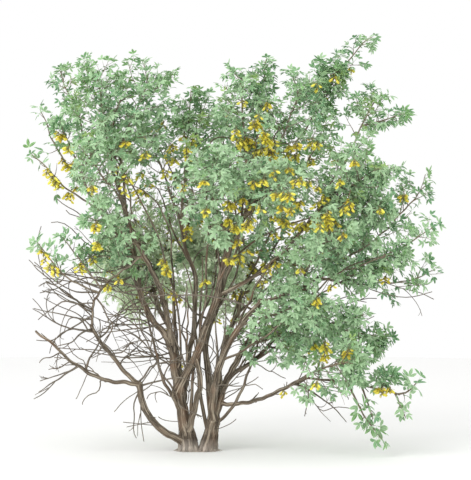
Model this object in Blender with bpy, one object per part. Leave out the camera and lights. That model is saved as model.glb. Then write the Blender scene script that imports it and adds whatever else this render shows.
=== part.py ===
"""Bean trefoil shrub, about 2.4 m tall: several crooked stems from one root crown, boughs that fork
from them, masses of three-lobed leaves and hanging blossom, and bare dead twigs low on both sides.

Sizes are in metres, +Z is up and -Y is the front. The origin is the middle of the flat cut under
the root crown, at ground level. Every limb is one tapering tube. Where a limb grows from another,
its parent carries it as a short collar that ends in a flat cut, and the limb starts CUT_GAP beyond.
"""

import math
import random
from collections import namedtuple

import bpy
import numpy as np
from mathutils import Matrix, Vector
from mathutils.bvhtree import BVHTree

# ---------------------------------------------------------------- driving dimensions

CUT_GAP = 0.0003  # between the flat cut of a collar and the limb that grows on from it
COLLAR_CLEARANCE = 0.004  # bark to bark, where a limb's own solid may begin
LONGEST_COLLAR = 0.6  # as a share of the limb's length
COLLAR_STEPS = 240
TIP_JOIN = 0.985  # how far along its parent a limb is rooted that grows from the parent's tip
WOBBLE = 0.010  # sideways crookedness of a limb, as a share of its length
WOBBLE_WAVES = (3, 5)  # half waves along the limb, and the push of each is as much less
TAPER_POWER = 0.8
TRUNK_TAPER_POWER = 2.2  # a trunk thins fast above its flare

LIMB_RING_SPACING = 0.13
STEM_RING_SPACING = 0.15  # the same for the stem of a mass
RING_MARGIN = 0.01  # no ring comes nearer than this to a tube's end
THICK_LIMB_SIDES = 8
THIN_LIMB_SIDES = 5
TWIG_SIDES = 3
THICK_RADIUS = 0.0125
THIN_RADIUS = 0.0077

ROOT_RADII = (0.130, 0.096)  # root crown at the ground, along X and Y
ROOT_CENTRE_X = 0.010
ROOT_FLARE = ((0, 1), (0.010, 0.87), (0.028, 0.74), (0.055, 0.58), (0.085, 0.36))  # height, share
ROOT_SIDES = 14
ROOT_LOBES = 5
ROOT_LOBE_DEPTH = 0.07

GOLDEN_ANGLE = math.radians(137.5)  # between one side twig and the next, round the stem
TWIG_ANGLE = math.radians(52)  # between a side twig and its stem
TWIG_LIFT = 0.22  # how far side twigs turn upwards
TWIG_RADII = (0.0040, 0.0024)
TWIG_TO_STEM = 0.85  # a twig's foot is at most this share of the stem's radius
SHORTEST_TWIG = 0.035
TWIG_STRAIGHTNESS = 2.5  # how firmly a leafy twig keeps its heading
TWIG_SHRINK = 0.93  # a leafy twig that doesn't fit is tried this much shorter
TWIG_FULLNESS = (0.55, 0.75)  # twig length at the ends of a mass, and what its middle adds
FIRST_TWIG_AFTER = 0.04  # beyond the collar's cut, as a share of the stem
LAST_TWIG = 0.95  # how far along its stem a mass's last twig may start
FIRST_FORK, FORK_STEP = 0.42, 0.25  # where a twig carries its side leaves or spurs, along it
SPUR_RADII = (0.0026, 0.0014)  # the last twigs of a bare mass
SPUR_SHARE = 0.45  # spur length as a share of its mass's reach
SPUR_ANGLE = math.radians(42)
BARE_TWIG_SPREAD = (0.6, 1.0)  # least and most share of TWIG_ANGLE at a bare twig
BARE_TWIG_LENGTHS = (0.7, 1.1)  # as shares of the mass's reach

LEAF_ANGLE = math.radians(50)  # between a side leaf and its twig
LEAF_LENGTHS = (0.105, 0.175)  # base to tip of the smallest and the largest leaves
LEAF_SHARE = 0.78  # leaf length as a share of its mass's reach, within LEAF_LENGTHS
LEAF_LOBES = ((0.46, -0.56), (0.42, -0.17), (1, 0), (0.42, 0.17), (0.46, 0.56))  # ahead, across
LEAF_MIDDLE = 0.36  # how far ahead the thickest point lies, in lengths
LEAF_THICKNESS = 0.03  # in lengths
LEAF_DROOP = 0.12
LEAF_TILT = 0.45
LEAF_ROLL = 0.6
LEAF_VARIATION = (0.85, 1.12)
LEAF_OVERHANG = 0.7  # how much of a leaf counts in its mass's reach
LEAF_TRIES = 8
LEAF_ROOT = 0.012  # how deep a leaf's base is sunk along the twig that ends in it

BUNCH_LENGTHS = (0.060, 0.085)  # of a hanging bunch of blossom
BUNCH_RADIUS = 0.019
BUNCH_WIDEST = 0.55  # how far down it is widest, in lengths
BUNCH_SWING = 0.3  # sideways for each length down
BUNCH_STRETCH = (0.10, 0.75)  # the part of a mass's stem that blossom hangs from

CLEARANCE = 0.0008  # from a twig or leaf to anything that isn't of its mass
REACH_SLACK = 1.12  # a twig or leaf is skipped if it goes past its mass's reach by more than this
SHRUB_LIMITS = ((-0.96, -0.86, 0.012), (1.40, 0.86, 2.40))  # corners of the twigs' and leaves' space

NONE = (0, 0, 0)

# A limb: what it grows from and how far along that; its tip; its bow, a sideways push that is none
# at its ends; its radius at foot and tip; and its sway, a push one way and then back.
Limb = namedtuple("Limb", "name parent at tip bow radii sway", defaults=[NONE])
# A mass has a stem like a limb's, the reach of its twigs and leaves from that stem, and a habit.
# Its twigs start at the share `bare_below` of the stem.
Mass = namedtuple("Mass", "name parent at tip bow reach bare_below habit")
# Each twig of a leafy mass ends in one leaf and carries `forks` more. Each twig of a bare mass
# carries that many spurs. Bunches of blossom hang from the stem.
Habit = namedtuple("Habit", "radii twigs forks bunches")

CLUMP = Habit((0.0070, 0.0030), 8, 2, 2)
SPRAY = Habit((0.0070, 0.0030), 9, 1, 1)
SHOOT = Habit((0.0062, 0.0024), 7, 1, 1)
WISP = Habit((0.0062, 0.0024), 5, 0, 1)
TWIG_NET = Habit((0.0075, 0.0022), 7, 2, 0)
TWIG_FAN = Habit((0.0075, 0.0022), 6, 2, 0)

# A trunk's `at` is its foot, inside the root crown.
TRUNKS = [
    Limb("left_trunk", None, (-0.045, 0, 0.018), (-0.108, 0.01, 0.32), (0.01, 0, 0), (0.060, 0.031)),
    Limb("right_trunk", None, (0.065, 0, 0.018), (0.092, -0.01, 0.165), NONE, (0.064, 0.037)),
]

LIMBS = [
    # The low stem that leaves the root crown to the left and forks above the ground.
    Limb("low_stem", "left_trunk", 0.06, (-0.32, -0.13, 0.39), (-0.065, -0.02, -0.035), (0.021, 0.016)),
    Limb("low_left_bough", "low_stem", 1, (-0.88, -0.3, 0.69), (0.02, 0, -0.085), (0.0125, 0.006)),
    Limb("rising_bough", "low_stem", 1, (-0.6, 0.02, 0.71), (-0.02, 0.01, -0.01), (0.0125, 0.0095)),
    Limb("elbow_bough", "rising_bough", 1, (-0.32, -0.2, 1.09), (-0.085, -0.03, 0), (0.0078, 0.0045)),
    # What grows from the left trunk.
    Limb("main_left_stem", "left_trunk", 1, (-0.15, 0.06, 0.6), (0.005, 0, 0), (0.0255, 0.0225)),
    Limb("outer_left_stem", "main_left_stem", 1, (-0.38, 0.14, 1.14), (-0.04, 0, -0.03), (0.0185, 0.013)),
    Limb("inner_left_stem", "main_left_stem", 1, (-0.36, -0.06, 1.21), (0.045, 0, 0.01), (0.018, 0.012)),
    Limb("left_high_bough", "outer_left_stem", 1, (-0.65, 0.12, 1.51), (-0.02, 0, 0), (0.0105, 0.0075)),
    Limb("left_crown_bough", "inner_left_stem", 1, (-0.47, -0.12, 1.59), NONE, (0.010, 0.008)),
    Limb("centre_stem", "left_trunk", 1, (0.19, -0.15, 1.17), (0.015, 0, -0.03), (0.024, 0.016)),
    Limb("centre_bough", "centre_stem", 1, (0.3, -0.2, 1.46), (0.02, 0, 0), (0.0125, 0.009)),
    Limb("centre_side_bough", "centre_stem", 1, (0.09, -0.22, 1.39), (0.01, 0, -0.01), (0.0115, 0.008)),
    Limb("long_right_bough", "centre_stem", 0.66, (0.68, -0.24, 1.37), (0.03, 0, -0.05), (0.0125, 0.007)),
    # Stems from the back of the root crown.
    Limb("mid_stem", "left_trunk", 0.1, (-0.11, 0.2, 1.34), (0.05, 0.06, 0), (0.0185, 0.009), (-0.035, 0, 0)),
    Limb("rear_left_stem", "left_trunk", 0.22, (-0.27, 0.45, 0.91), (0.04, 0.08, 0), (0.0175, 0.011)),
    Limb("rear_right_stem", "right_trunk", 0.35, (0.3, 0.48, 1.02), (-0.03, 0.08, 0), (0.0185, 0.011)),
    # What grows from the right trunk.
    Limb("inner_right_stem", "right_trunk", 1, (0.2, 0.12, 1.07), (-0.085, 0.02, 0), (0.019, 0.013)),
    Limb("middle_right_stem", "right_trunk", 1, (0.37, -0.18, 0.86), (-0.085, -0.02, 0.03), (0.022, 0.014)),
    Limb("right_high_bough", "middle_right_stem", 1, (0.68, -0.22, 0.99), (0, 0, -0.02), (0.011, 0.0075)),
    Limb("outer_right_stem", "right_trunk", 1, (0.28, 0.04, 0.61), (-0.02, 0, 0), (0.021, 0.015)),
    Limb("far_right_stem", "outer_right_stem", 0.55, (0.5, 0.14, 0.69), (0, 0.02, -0.03), (0.013, 0.0095)),
    Limb("low_right_bough", "outer_right_stem", 0.22, (0.6, -0.2, 0.43), (-0.02, 0, -0.05), (0.012, 0.0085)),
    Limb("low_right_arm", "low_right_bough", 1, (1.12, -0.28, 0.34), (0, 0, 0.02), (0.007, 0.0045)),
]

LEAFY_MASSES = [
    # The left of the crown, from its outermost shoots inwards.
    Mass("left_top_shoot", "left_high_bough", 1, (-0.79, 0.2, 2.16), (0.05, 0, 0), 0.13, 0.18, SPRAY),
    Mass("left_shoot_high", "left_high_bough", 1, (-0.88, -0.04, 1.92), (-0.02, 0, -0.02), 0.1, 0.45, WISP),
    Mass("left_shoot_low", "left_high_bough", 0.6, (-0.93, -0.1, 1.68), (0, 0, -0.02), 0.1, 0.45, WISP),
    Mass("left_crown", "left_crown_bough", 1, (-0.56, -0.1, 2.12), NONE, 0.23, 0.15, CLUMP),
    Mass("left_inner_crown", "left_crown_bough", 1, (-0.24, -0.02, 2.12), (-0.02, 0, 0), 0.24, 0.25, CLUMP),
    Mass("left_front_clump", "left_crown_bough", 0.55, (-0.6, -0.4, 1.66), NONE, 0.19, 0.15, SPRAY),
    Mass("left_low_clump", "inner_left_stem", 0.9, (-0.53, -0.32, 1.37), (0, 0, -0.02), 0.17, 0.15, SPRAY),
    Mass("left_low_shoot", "elbow_bough", 0.45, (-0.86, -0.33, 1.17), (-0.02, 0, -0.04), 0.1, 0.5, WISP),
    # The middle of the crown.
    Mass("centre_left_crown", "mid_stem", 1, (-0.3, 0.32, 1.84), NONE, 0.24, 0.1, CLUMP),
    Mass("centre_top", "mid_stem", 1, (0.02, 0.3, 1.98), NONE, 0.22, 0.25, SPRAY),
    Mass("centre_crown", "centre_bough", 1, (0.25, -0.14, 2.12), (-0.01, 0, 0), 0.22, 0.2, CLUMP),
    Mass("centre_right_crown", "centre_bough", 1, (0.6, -0.06, 2.06), (0.02, 0, 0), 0.25, 0.2, CLUMP),
    Mass("front_centre", "centre_side_bough", 1, (0.1, -0.48, 1.56), NONE, 0.24, 0.05, CLUMP),
    Mass("front_right", "centre_bough", 0.6, (0.46, -0.5, 1.5), NONE, 0.23, 0.15, CLUMP),
    # The right of the crown.
    Mass("top_right_shoot", "inner_right_stem", 1, (1, 0.22, 2.36), (-0.07, 0.02, 0), 0.17, 0.3, SPRAY),
    Mass("right_upper_shoot", "long_right_bough", 1, (1.02, 0.14, 1.99), NONE, 0.2, 0.18, SPRAY),
    Mass("right_outer_crown", "long_right_bough", 1, (1.13, -0.36, 1.74), (0, 0, 0.02), 0.2, 0.15, SPRAY),
    Mass("right_front_crown", "right_high_bough", 0.55, (0.74, -0.46, 1.26), NONE, 0.23, 0.15, CLUMP),
    Mass("right_shoot_high", "right_high_bough", 1, (1.3, 0.1, 1.5), (0.03, 0, -0.03), 0.15, 0.25, SHOOT),
    Mass("right_shoot_middle", "right_high_bough", 1, (1.31, -0.36, 1.27), (0.03, 0, -0.03), 0.16, 0.25, SHOOT),
    Mass("right_shoot_low", "right_high_bough", 1, (1.34, 0.02, 1.02), (0.02, 0, -0.06), 0.17, 0.25, SHOOT),
    Mass("right_low_front", "outer_right_stem", 1, (0.68, -0.42, 0.84), (0.03, 0, 0.02), 0.24, 0.15, CLUMP),
    Mass("right_low_side", "far_right_stem", 1, (1.05, 0.22, 0.62), (0, 0, 0.03), 0.2, 0.25, SPRAY),
    Mass("low_right_clump", "low_right_bough", 1, (0.84, -0.38, 0.52), (0, 0, 0.02), 0.17, 0.15, SPRAY),
    Mass("low_right_end", "low_right_arm", 1, (1.27, -0.32, 0.42), (0, 0, -0.02), 0.13, 0.1, SHOOT),
    Mass("low_right_hanging", "low_right_arm", 0.45, (1.02, -0.3, 0.1), (0, 0, -0.03), 0.1, 0.35, WISP),
    # The back of the crown.
    Mass("rear_low", "rear_left_stem", 1, (-0.12, 0.66, 1.22), (-0.02, 0, 0.02), 0.3, 0.05, CLUMP),
    Mass("rear_crown_left", "rear_left_stem", 1, (-0.5, 0.52, 1.8), (0, 0.03, 0), 0.25, 0.25, SPRAY),
    Mass("rear_crown_centre", "rear_right_stem", 1, (0.12, 0.58, 1.88), (0, 0.03, 0), 0.25, 0.25, SPRAY),
    Mass("rear_crown_right", "rear_right_stem", 1, (0.72, 0.5, 1.82), NONE, 0.24, 0.25, SPRAY),
    Mass("rear_right_low", "rear_right_stem", 0.85, (0.88, 0.46, 1.16), (0, 0, 0.03), 0.24, 0.25, SPRAY),
]

BARE_MASSES = [
    Mass("bare_low_left", "low_left_bough", 0.55, (-0.86, -0.34, 0.36), NONE, 0.16, 0.2, TWIG_FAN),
    Mass("bare_left", "rising_bough", 0.9, (-0.94, 0.1, 0.8), (0, 0, -0.03), 0.24, 0.15, TWIG_NET),
    Mass("bare_high_left", "elbow_bough", 0.22, (-0.95, 0, 1.08), (0, 0.03, -0.03), 0.2, 0.15, TWIG_NET),
    Mass("bare_inner_left", "left_trunk", 0.92, (-0.36, -0.24, 0.86), (-0.02, 0, -0.02), 0.24, 0.25, TWIG_NET),
    Mass("bare_low_right", "low_right_bough", 0.85, (0.84, -0.08, 0.17), (0, 0, 0.04), 0.14, 0.25, TWIG_FAN),
]

MASSES = LEAFY_MASSES + BARE_MASSES

# ---------------------------------------------------------------- the Blender scene


def clear_scene():
    for obj in list(bpy.data.objects):
        bpy.data.objects.remove(obj)


def material(name, colour, roughness):
    """A plain Principled BSDF in one colour."""
    made = bpy.data.materials.new(name)
    made.use_nodes = True
    shader = made.node_tree.nodes["Principled BSDF"]
    shader.inputs["Base Color"].default_value = (*colour, 1)
    shader.inputs["Roughness"].default_value = roughness
    shader.inputs["Metallic"].default_value = 0
    return made


def mesh_object(name, shape, collection):
    """An object made from a shape, which is a pair of vertices and faces."""
    mesh = bpy.data.meshes.new(name)
    mesh.from_pydata([tuple(v) for v in shape[0]], [], shape[1])
    obj = bpy.data.objects.new(name, mesh)
    collection.objects.link(obj)
    return obj


def fused(name, shapes, look):
    """One object: the first shape with all the others joined to it by one Boolean union."""
    scene = bpy.context.scene.collection
    obj = mesh_object(name, shapes[0], scene)
    others = bpy.data.collections.new(name + "_pieces")
    scene.children.link(others)
    for number, shape in enumerate(shapes[1:]):
        mesh_object(f"{name}_piece_{number}", shape, others)
    union = obj.modifiers.new("union", "BOOLEAN")
    union.operation = "UNION"
    union.operand_type = "COLLECTION"
    union.collection = others
    union.solver = "MANIFOLD"  # EXACT leaves slivers where a leaf's edge runs into its twig
    if len(shapes) > 1:
        graph = bpy.context.evaluated_depsgraph_get()
        obj.data = bpy.data.meshes.new_from_object(obj.evaluated_get(graph))
        obj.data.name = name
    obj.modifiers.clear()
    for piece in list(others.objects):
        bpy.data.objects.remove(piece)
    bpy.data.collections.remove(others)
    obj.data.materials.clear()
    obj.data.materials.append(look)
    return obj


# ---------------------------------------------------------------- centrelines


class Path:
    """The centreline of a limb or of a mass's stem: straight runs between knots, and a radius."""

    def __init__(self, branch, foot, seed, spacing):
        foot, tip, bow = (np.array(v, float) for v in (foot, branch.tip, branch.bow))
        sway = np.array(getattr(branch, "sway", NONE), float)
        chord = np.linalg.norm(tip - foot)
        share = np.linspace(0, 1, max(2, round(chord / spacing)) + 1)
        self.knots = foot + np.outer(share, tip - foot)
        self.knots += np.outer(np.sin(math.pi * share), bow)
        self.knots += np.outer(np.sin(2 * math.pi * share), sway)
        draw = random.Random(seed)
        for waves in WOBBLE_WAVES:
            push = np.array([draw.uniform(-1, 1) for _ in range(3)])
            push *= WOBBLE * chord * WOBBLE_WAVES[0] / waves
            self.knots += np.outer(np.sin(waves * math.pi * share), push)
        thick, thin = branch.habit.radii if isinstance(branch, Mass) else branch.radii
        power = TRUNK_TAPER_POWER if branch.parent is None else TAPER_POWER
        self.radii = thin + (thick - thin) * (1 - share) ** power
        self.runs = np.diff(self.knots, axis=0)
        self.along = np.concatenate([[0], np.cumsum(np.linalg.norm(self.runs, axis=1))])
        self.length = float(self.along[-1])
        self.reference = Vector(tip - foot).cross(Vector((0.3, 1, 0.2))).normalized()
        if thick > THICK_RADIUS:
            self.sides = THICK_LIMB_SIDES
        else:
            self.sides = THIN_LIMB_SIDES if thick > THIN_RADIUS else TWIG_SIDES

    def at(self, distance):
        """The point, radius and heading at a distance along the path."""
        run = int(np.clip(np.searchsorted(self.along, distance) - 1, 0, len(self.runs) - 1))
        share = (distance - self.along[run]) / (self.along[run + 1] - self.along[run])
        radius = self.radii[run] * (1 - share) + self.radii[run + 1] * share
        point = Vector(self.knots[run] + self.runs[run] * share)
        return point, float(radius), Vector(self.runs[run]).normalized()

    def ring(self, distance, shift=0.0):
        """The corners of the ring round the path: square to it, and mitred where it is at a knot."""
        point, radius, ahead = self.at(distance)
        beyond = self.at(min(distance + 1e-6, self.length))[2]
        ahead = (ahead + beyond).normalized()
        side = (self.reference - ahead * self.reference.dot(ahead)).normalized()
        over = ahead.cross(side)
        turns = [2 * math.pi * corner / self.sides for corner in range(self.sides)]
        outward = [side * math.cos(turn) + over * math.sin(turn) for turn in turns]
        return [point + ahead * shift + out * radius for out in outward]

    def space_from(self, point, radius):
        """The space between this limb's bark and a ball of that radius at the point."""
        reach = np.array(point) - self.knots[:-1]
        share = (reach * self.runs).sum(1) / (self.runs * self.runs).sum(1)
        share = np.clip(share, 0, 1)[:, None]
        away = np.linalg.norm(reach - self.runs * share, axis=1)
        bark = self.radii[:-1] + np.diff(self.radii) * share[:, 0]
        return float((away - bark).min() - radius)


# ---------------------------------------------------------------- solid shapes


def tube_faces(runs, sides):
    """The walls between the rings of a closed tube, and its two flat ends."""
    faces = [tuple(range(sides))[::-1], tuple(range(runs * sides, (runs + 1) * sides))]
    for ring in range(runs):
        for corner in range(sides):
            low, next_low = ring * sides + corner, ring * sides + (corner + 1) % sides
            faces.append((low, next_low, next_low + sides, low + sides))
    return faces


def tube(path, start, end, shift=0.0):
    """The closed tube along part of a path. shift moves its first ring along the path."""
    inside = [d for d in path.along if start + RING_MARGIN < d < end - RING_MARGIN]
    vertices = path.ring(start, shift)
    for distance in [*inside, end]:
        vertices += path.ring(distance)
    return vertices, tube_faces(len(inside) + 1, path.sides)


def root_flare():
    """The flare of the root crown, flat underneath, from which the stems rise."""
    vertices = []
    for height, share in ROOT_FLARE:
        for corner in range(ROOT_SIDES):
            turn = 2 * math.pi * corner / ROOT_SIDES
            lobed = share * (1 + ROOT_LOBE_DEPTH * math.cos(ROOT_LOBES * turn) * share)
            across = ROOT_CENTRE_X + ROOT_RADII[0] * math.cos(turn) * lobed
            vertices.append(Vector((across, ROOT_RADII[1] * math.sin(turn) * lobed, height)))
    return vertices, tube_faces(len(ROOT_FLARE) - 1, ROOT_SIDES)


def blade_axes(ahead, up):
    """The side and the upper face of a blade that points ahead."""
    side = up.cross(ahead).normalized()
    return side, ahead.cross(side).normalized()


def twig_ring(centre, side, normal, radius):
    """The three corners of a twig: on top, on the right and on the left."""
    low = centre - normal * radius * 0.5
    across = side * radius * math.sin(math.radians(60))
    return [centre + normal * radius, low - across, low + across]


def bare_twig(foot, tip, radii):
    """A three-sided tapering twig."""
    ahead = (tip - foot).normalized()
    side, normal = blade_axes(ahead, ahead.orthogonal())
    vertices = twig_ring(foot, side, normal, radii[0]) + twig_ring(tip, side, normal, radii[1])
    return vertices, tube_faces(1, TWIG_SIDES)


def lobes(base, ahead, side, normal, length):
    """The outline of a leaf from its right lobe to its left, then the thickest point of its top."""
    points = []
    for along, across in LEAF_LOBES:
        sag = -LEAF_DROOP * (along * along + across * across)
        points.append(base + (ahead * along + side * across + normal * sag) * length)
    points.append(base + (ahead * LEAF_MIDDLE + normal * LEAF_THICKNESS) * length)
    return points


def leaf(base, ahead, up, length):
    """A thin three-lobed leaf that narrows to one point at its base."""
    side, normal = blade_axes(ahead, up)
    vertices = [base, *lobes(base, ahead, side, normal, length)]
    top = [(corner, (corner + 1) % 6, 6) for corner in range(6)]
    under = [(0, 2, 1), (0, 4, 2), (2, 4, 3), (0, 5, 4)]
    return vertices, top + under


def leafy_twig(foot, tip, up, radii, length):
    """A three-sided twig that widens at its tip into a three-lobed leaf."""
    ahead = (tip - foot).normalized()
    side, normal = blade_axes(ahead, up)
    vertices = twig_ring(foot, side, normal, radii[0]) + twig_ring(tip, side, normal, radii[1])
    vertices += lobes(tip, ahead, side, normal, length)
    twig = [(2, 1, 0), (0, 1, 4, 3), (1, 2, 5, 4), (2, 0, 3, 5)]
    edge = (4, 6, 7, 8, 9, 10, 5, 3)
    top = [(corner, edge[(number + 1) % 8], 11) for number, corner in enumerate(edge)]
    under = [(4, 7, 6), (4, 9, 7), (7, 9, 8), (4, 5, 9), (5, 10, 9)]
    return vertices, twig + top + under


def blossom_bunch(top, ahead, length):
    """A bunch of blossom, three-sided and pointed at both ends."""
    side, normal = blade_axes(ahead, ahead.orthogonal())
    ring = twig_ring(top + ahead * length * BUNCH_WIDEST, side, normal, BUNCH_RADIUS)
    vertices = [top, *ring, top + ahead * length]
    upper = [(0, 1 + (corner + 1) % TWIG_SIDES, 1 + corner) for corner in range(TWIG_SIDES)]
    lower = [(1 + corner, 1 + (corner + 1) % TWIG_SIDES, 4) for corner in range(TWIG_SIDES)]
    return vertices, upper + lower


# ---------------------------------------------------------------- limbs and their collars


def make_paths():
    """The centreline of every trunk, limb and mass, by name."""
    paths = {}
    for seed, trunk in enumerate(TRUNKS):
        paths[trunk.name] = Path(trunk, trunk.at, seed, LIMB_RING_SPACING)
    for seed, branch in enumerate(LIMBS + MASSES, 100):
        parent = paths[branch.parent]
        foot = parent.at(parent.length * min(branch.at, TIP_JOIN))[0]
        spacing = STEM_RING_SPACING if branch in MASSES else LIMB_RING_SPACING
        paths[branch.name] = Path(branch, foot, seed, spacing)
    return paths


def carrier_of(branch):
    """The node that holds a branch's foot: both trunks are part of the root crown."""
    trunk_names = [trunk.name for trunk in TRUNKS]
    return "root_crown" if branch.parent in trunk_names else branch.parent


def collar_length(branch, paths):
    """How far along a branch its own solid is clear of the limbs that it parts from."""
    kin = [other for other in LIMBS + MASSES if carrier_of(other) == carrier_of(branch)]
    names = {other.parent for other in kin} | {other.name for other in kin}
    path = paths[branch.name]
    length = None
    for distance in np.linspace(0, path.length * LONGEST_COLLAR, COLLAR_STEPS):
        point, radius, _ = path.at(float(distance))
        space = min(paths[name].space_from(point, radius) for name in names - {branch.name})
        if space <= COLLAR_CLEARANCE:
            length = None
        elif length is None:
            length = float(distance)
    if length is None:
        raise ValueError(f"{branch.name} never comes clear of what it grows from")
    return length


def wood_shapes(paths):
    """The shapes of every node without twigs and leaves, and each branch's collar length."""
    shapes = {"root_crown": [root_flare()]}
    for trunk in TRUNKS:
        shapes["root_crown"].append(tube(paths[trunk.name], 0, paths[trunk.name].length))
    collars = {branch.name: collar_length(branch, paths) for branch in LIMBS + MASSES}
    for branch in LIMBS + MASSES:
        path, collar = paths[branch.name], collars[branch.name]
        shapes[branch.name] = [tube(path, collar, path.length, CUT_GAP)]
    for branch in LIMBS + MASSES:
        shapes[carrier_of(branch)].append(tube(paths[branch.name], 0, collars[branch.name]))
    return shapes, collars


# ---------------------------------------------------------------- twigs and leaves


def tree_of(shapes):
    """One search tree over all the faces of some shapes."""
    vertices, faces = [], []
    for points, sides in shapes:
        faces += [[corner + len(vertices) for corner in face] for face in sides]
        vertices += points
    return BVHTree.FromPolygons(vertices, faces)


class Growth:
    """Grows the twigs and leaves of one mass, and skips each that would touch anything else."""

    def __init__(self, mass, path, collar, others, seed):
        self.mass, self.path, self.others = mass, path, others
        self.draw = random.Random(seed)
        self.turn = self.draw.uniform(0, 2 * math.pi)
        self.first = max(mass.bare_below, collar / path.length + FIRST_TWIG_AFTER)
        self.grown, self.leaf_trees = [], []
        shortest, longest = LEAF_LENGTHS
        self.leaf_length = min(longest, max(shortest, mass.reach * LEAF_SHARE))

    def in_its_space(self, points):
        low, high = SHRUB_LIMITS
        if any(not low[axis] < point[axis] < high[axis] for point in points for axis in range(3)):
            return False
        farthest = max(self.path.space_from(point, 0) for point in points)
        return farthest < self.mass.reach * REACH_SLACK

    def clear(self, shape, sunk):
        """Whether a shape touches nothing. The corners sunk in its own twig aren't asked."""
        tree = tree_of([shape])
        free = shape[0][sunk:]
        for other in self.others:
            if tree.overlap(other):
                return False
            if any(other.find_nearest(point, CLEARANCE)[0] for point in free):
                return False
        return not any(tree.overlap(other) for other in self.leaf_trees)

    def add(self, shape, sunk, is_leaf):
        if not self.in_its_space(shape[0]) or not self.clear(shape, sunk):
            return False
        self.grown.append(shape)
        if is_leaf:
            self.leaf_trees.append(tree_of([shape]))
        return True

    def tilted(self, ahead):
        tilt = Vector([self.draw.uniform(-LEAF_TILT, LEAF_TILT) for _ in range(3)])
        return (ahead + tilt).normalized()

    def upward(self):
        """The way that a leaf's upper face turns, more or less up."""
        roll = [self.draw.uniform(-LEAF_ROLL, LEAF_ROLL) for _ in range(2)]
        return Vector((*roll, 1))

    def blade_length(self):
        return self.leaf_length * self.draw.uniform(*LEAF_VARIATION)

    def add_leaf(self, base, ahead):
        """Turns the leaf about until it is clear of the others, and gives up after a few tries."""
        for _ in range(LEAF_TRIES):
            shape = leaf(base, self.tilted(ahead), self.upward(), self.blade_length())
            if self.add(shape, 1, True):
                return

    def add_leafy_twig(self, foot, ahead, length, width):
        """The same for a twig that ends in a leaf, and shortens it a little each time."""
        radii = (width, min(TWIG_RADII[1], width))
        for attempt in range(LEAF_TRIES):
            heading = (ahead * TWIG_STRAIGHTNESS + self.tilted(ahead)).normalized()
            tip = foot + heading * length * TWIG_SHRINK**attempt
            shape = leafy_twig(foot, tip, self.upward(), radii, self.blade_length())
            if self.add(shape, TWIG_SIDES, True):
                return tip
        return None

    def add_bunch(self):
        """Hangs blossom from the older part of the stem, where it is clear of the leaves."""
        low, high = BUNCH_STRETCH
        for _ in range(LEAF_TRIES):
            top = self.path.at(self.path.length * self.draw.uniform(max(low, self.first), high))[0]
            swing = [self.draw.uniform(-BUNCH_SWING, BUNCH_SWING) for _ in range(2)]
            length = self.draw.uniform(*BUNCH_LENGTHS)
            if self.add(blossom_bunch(top, Vector((*swing, -1)).normalized(), length), 1, True):
                return

    def off(self, ahead, angle):
        """A heading at an angle from ahead, a golden angle round from the last one, and lifted."""
        self.turn += GOLDEN_ANGLE
        side = ahead.orthogonal().normalized()
        side.rotate(Matrix.Rotation(self.turn, 3, ahead))
        heading = ahead * math.cos(angle) + side * math.sin(angle)
        return (heading + Vector((0, 0, TWIG_LIFT))).normalized()

    def leafy(self):
        """Twigs that end in leaves, fullest in the middle of the mass, and a leaf at its tip."""
        mass = self.mass
        at_ends, in_middle = TWIG_FULLNESS
        for number in range(mass.habit.twigs):
            order = (number + 0.5) / mass.habit.twigs
            share = self.first + (LAST_TWIG - self.first) * order
            foot, radius, ahead = self.path.at(self.path.length * share)
            length = mass.reach - self.leaf_length * LEAF_OVERHANG
            length *= at_ends + in_middle * math.sin(math.pi * order)
            heading = self.off(ahead, TWIG_ANGLE)
            width = min(TWIG_RADII[0], radius * TWIG_TO_STEM)
            tip = self.add_leafy_twig(foot, heading, max(length, SHORTEST_TWIG), width)
            for extra in range(mass.habit.forks if tip else 0):
                base = foot.lerp(tip, FIRST_FORK + FORK_STEP * extra)
                self.add_leaf(base, self.off(heading, LEAF_ANGLE))
        end, _, ahead = self.path.at(self.path.length)
        self.add_leaf(end - ahead * LEAF_ROOT, ahead)
        for _ in range(mass.habit.bunches):
            self.add_bunch()
        return self.grown

    def bare(self):
        """Leafless twigs that fork into spurs."""
        mass = self.mass
        for number in range(mass.habit.twigs):
            share = self.first + (LAST_TWIG - self.first) * number / mass.habit.twigs
            foot, radius, ahead = self.path.at(self.path.length * share)
            heading = self.off(ahead, TWIG_ANGLE * self.draw.uniform(*BARE_TWIG_SPREAD))
            tip = foot + heading * mass.reach * self.draw.uniform(*BARE_TWIG_LENGTHS)
            radii = (min(TWIG_RADII[0], radius * TWIG_TO_STEM), SPUR_RADII[1])
            if not self.add(bare_twig(foot, tip, radii), TWIG_SIDES, False):
                continue
            for extra in range(mass.habit.forks):
                fork = foot.lerp(tip, FIRST_FORK + FORK_STEP * extra)
                spur = self.off(heading, SPUR_ANGLE) * mass.reach * SPUR_SHARE
                self.add(bare_twig(fork, fork + spur, SPUR_RADII), TWIG_SIDES, False)
        return self.grown


# ---------------------------------------------------------------- the shrub


def main():
    clear_scene()
    bark = material("bark", (0.23, 0.17, 0.12), 0.9)
    dead_bark = material("dead_bark", (0.36, 0.30, 0.24), 0.95)
    foliage = material("foliage", (0.20, 0.42, 0.24), 0.7)
    looks = {mass.name: foliage for mass in LEAFY_MASSES}
    looks.update({mass.name: dead_bark for mass in BARE_MASSES})

    paths = make_paths()
    shapes, collars = wood_shapes(paths)
    trees = {name: tree_of(parts) for name, parts in shapes.items()}
    for seed, mass in enumerate(MASSES, 500):
        others = [tree for name, tree in trees.items() if name != mass.name]
        growth = Growth(mass, paths[mass.name], collars[mass.name], others, seed)
        shapes[mass.name] += growth.bare() if mass in BARE_MASSES else growth.leafy()
        trees[mass.name] = tree_of(shapes[mass.name])
    for name, parts in shapes.items():
        fused(name, parts, looks.get(name, bark))


main()
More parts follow.
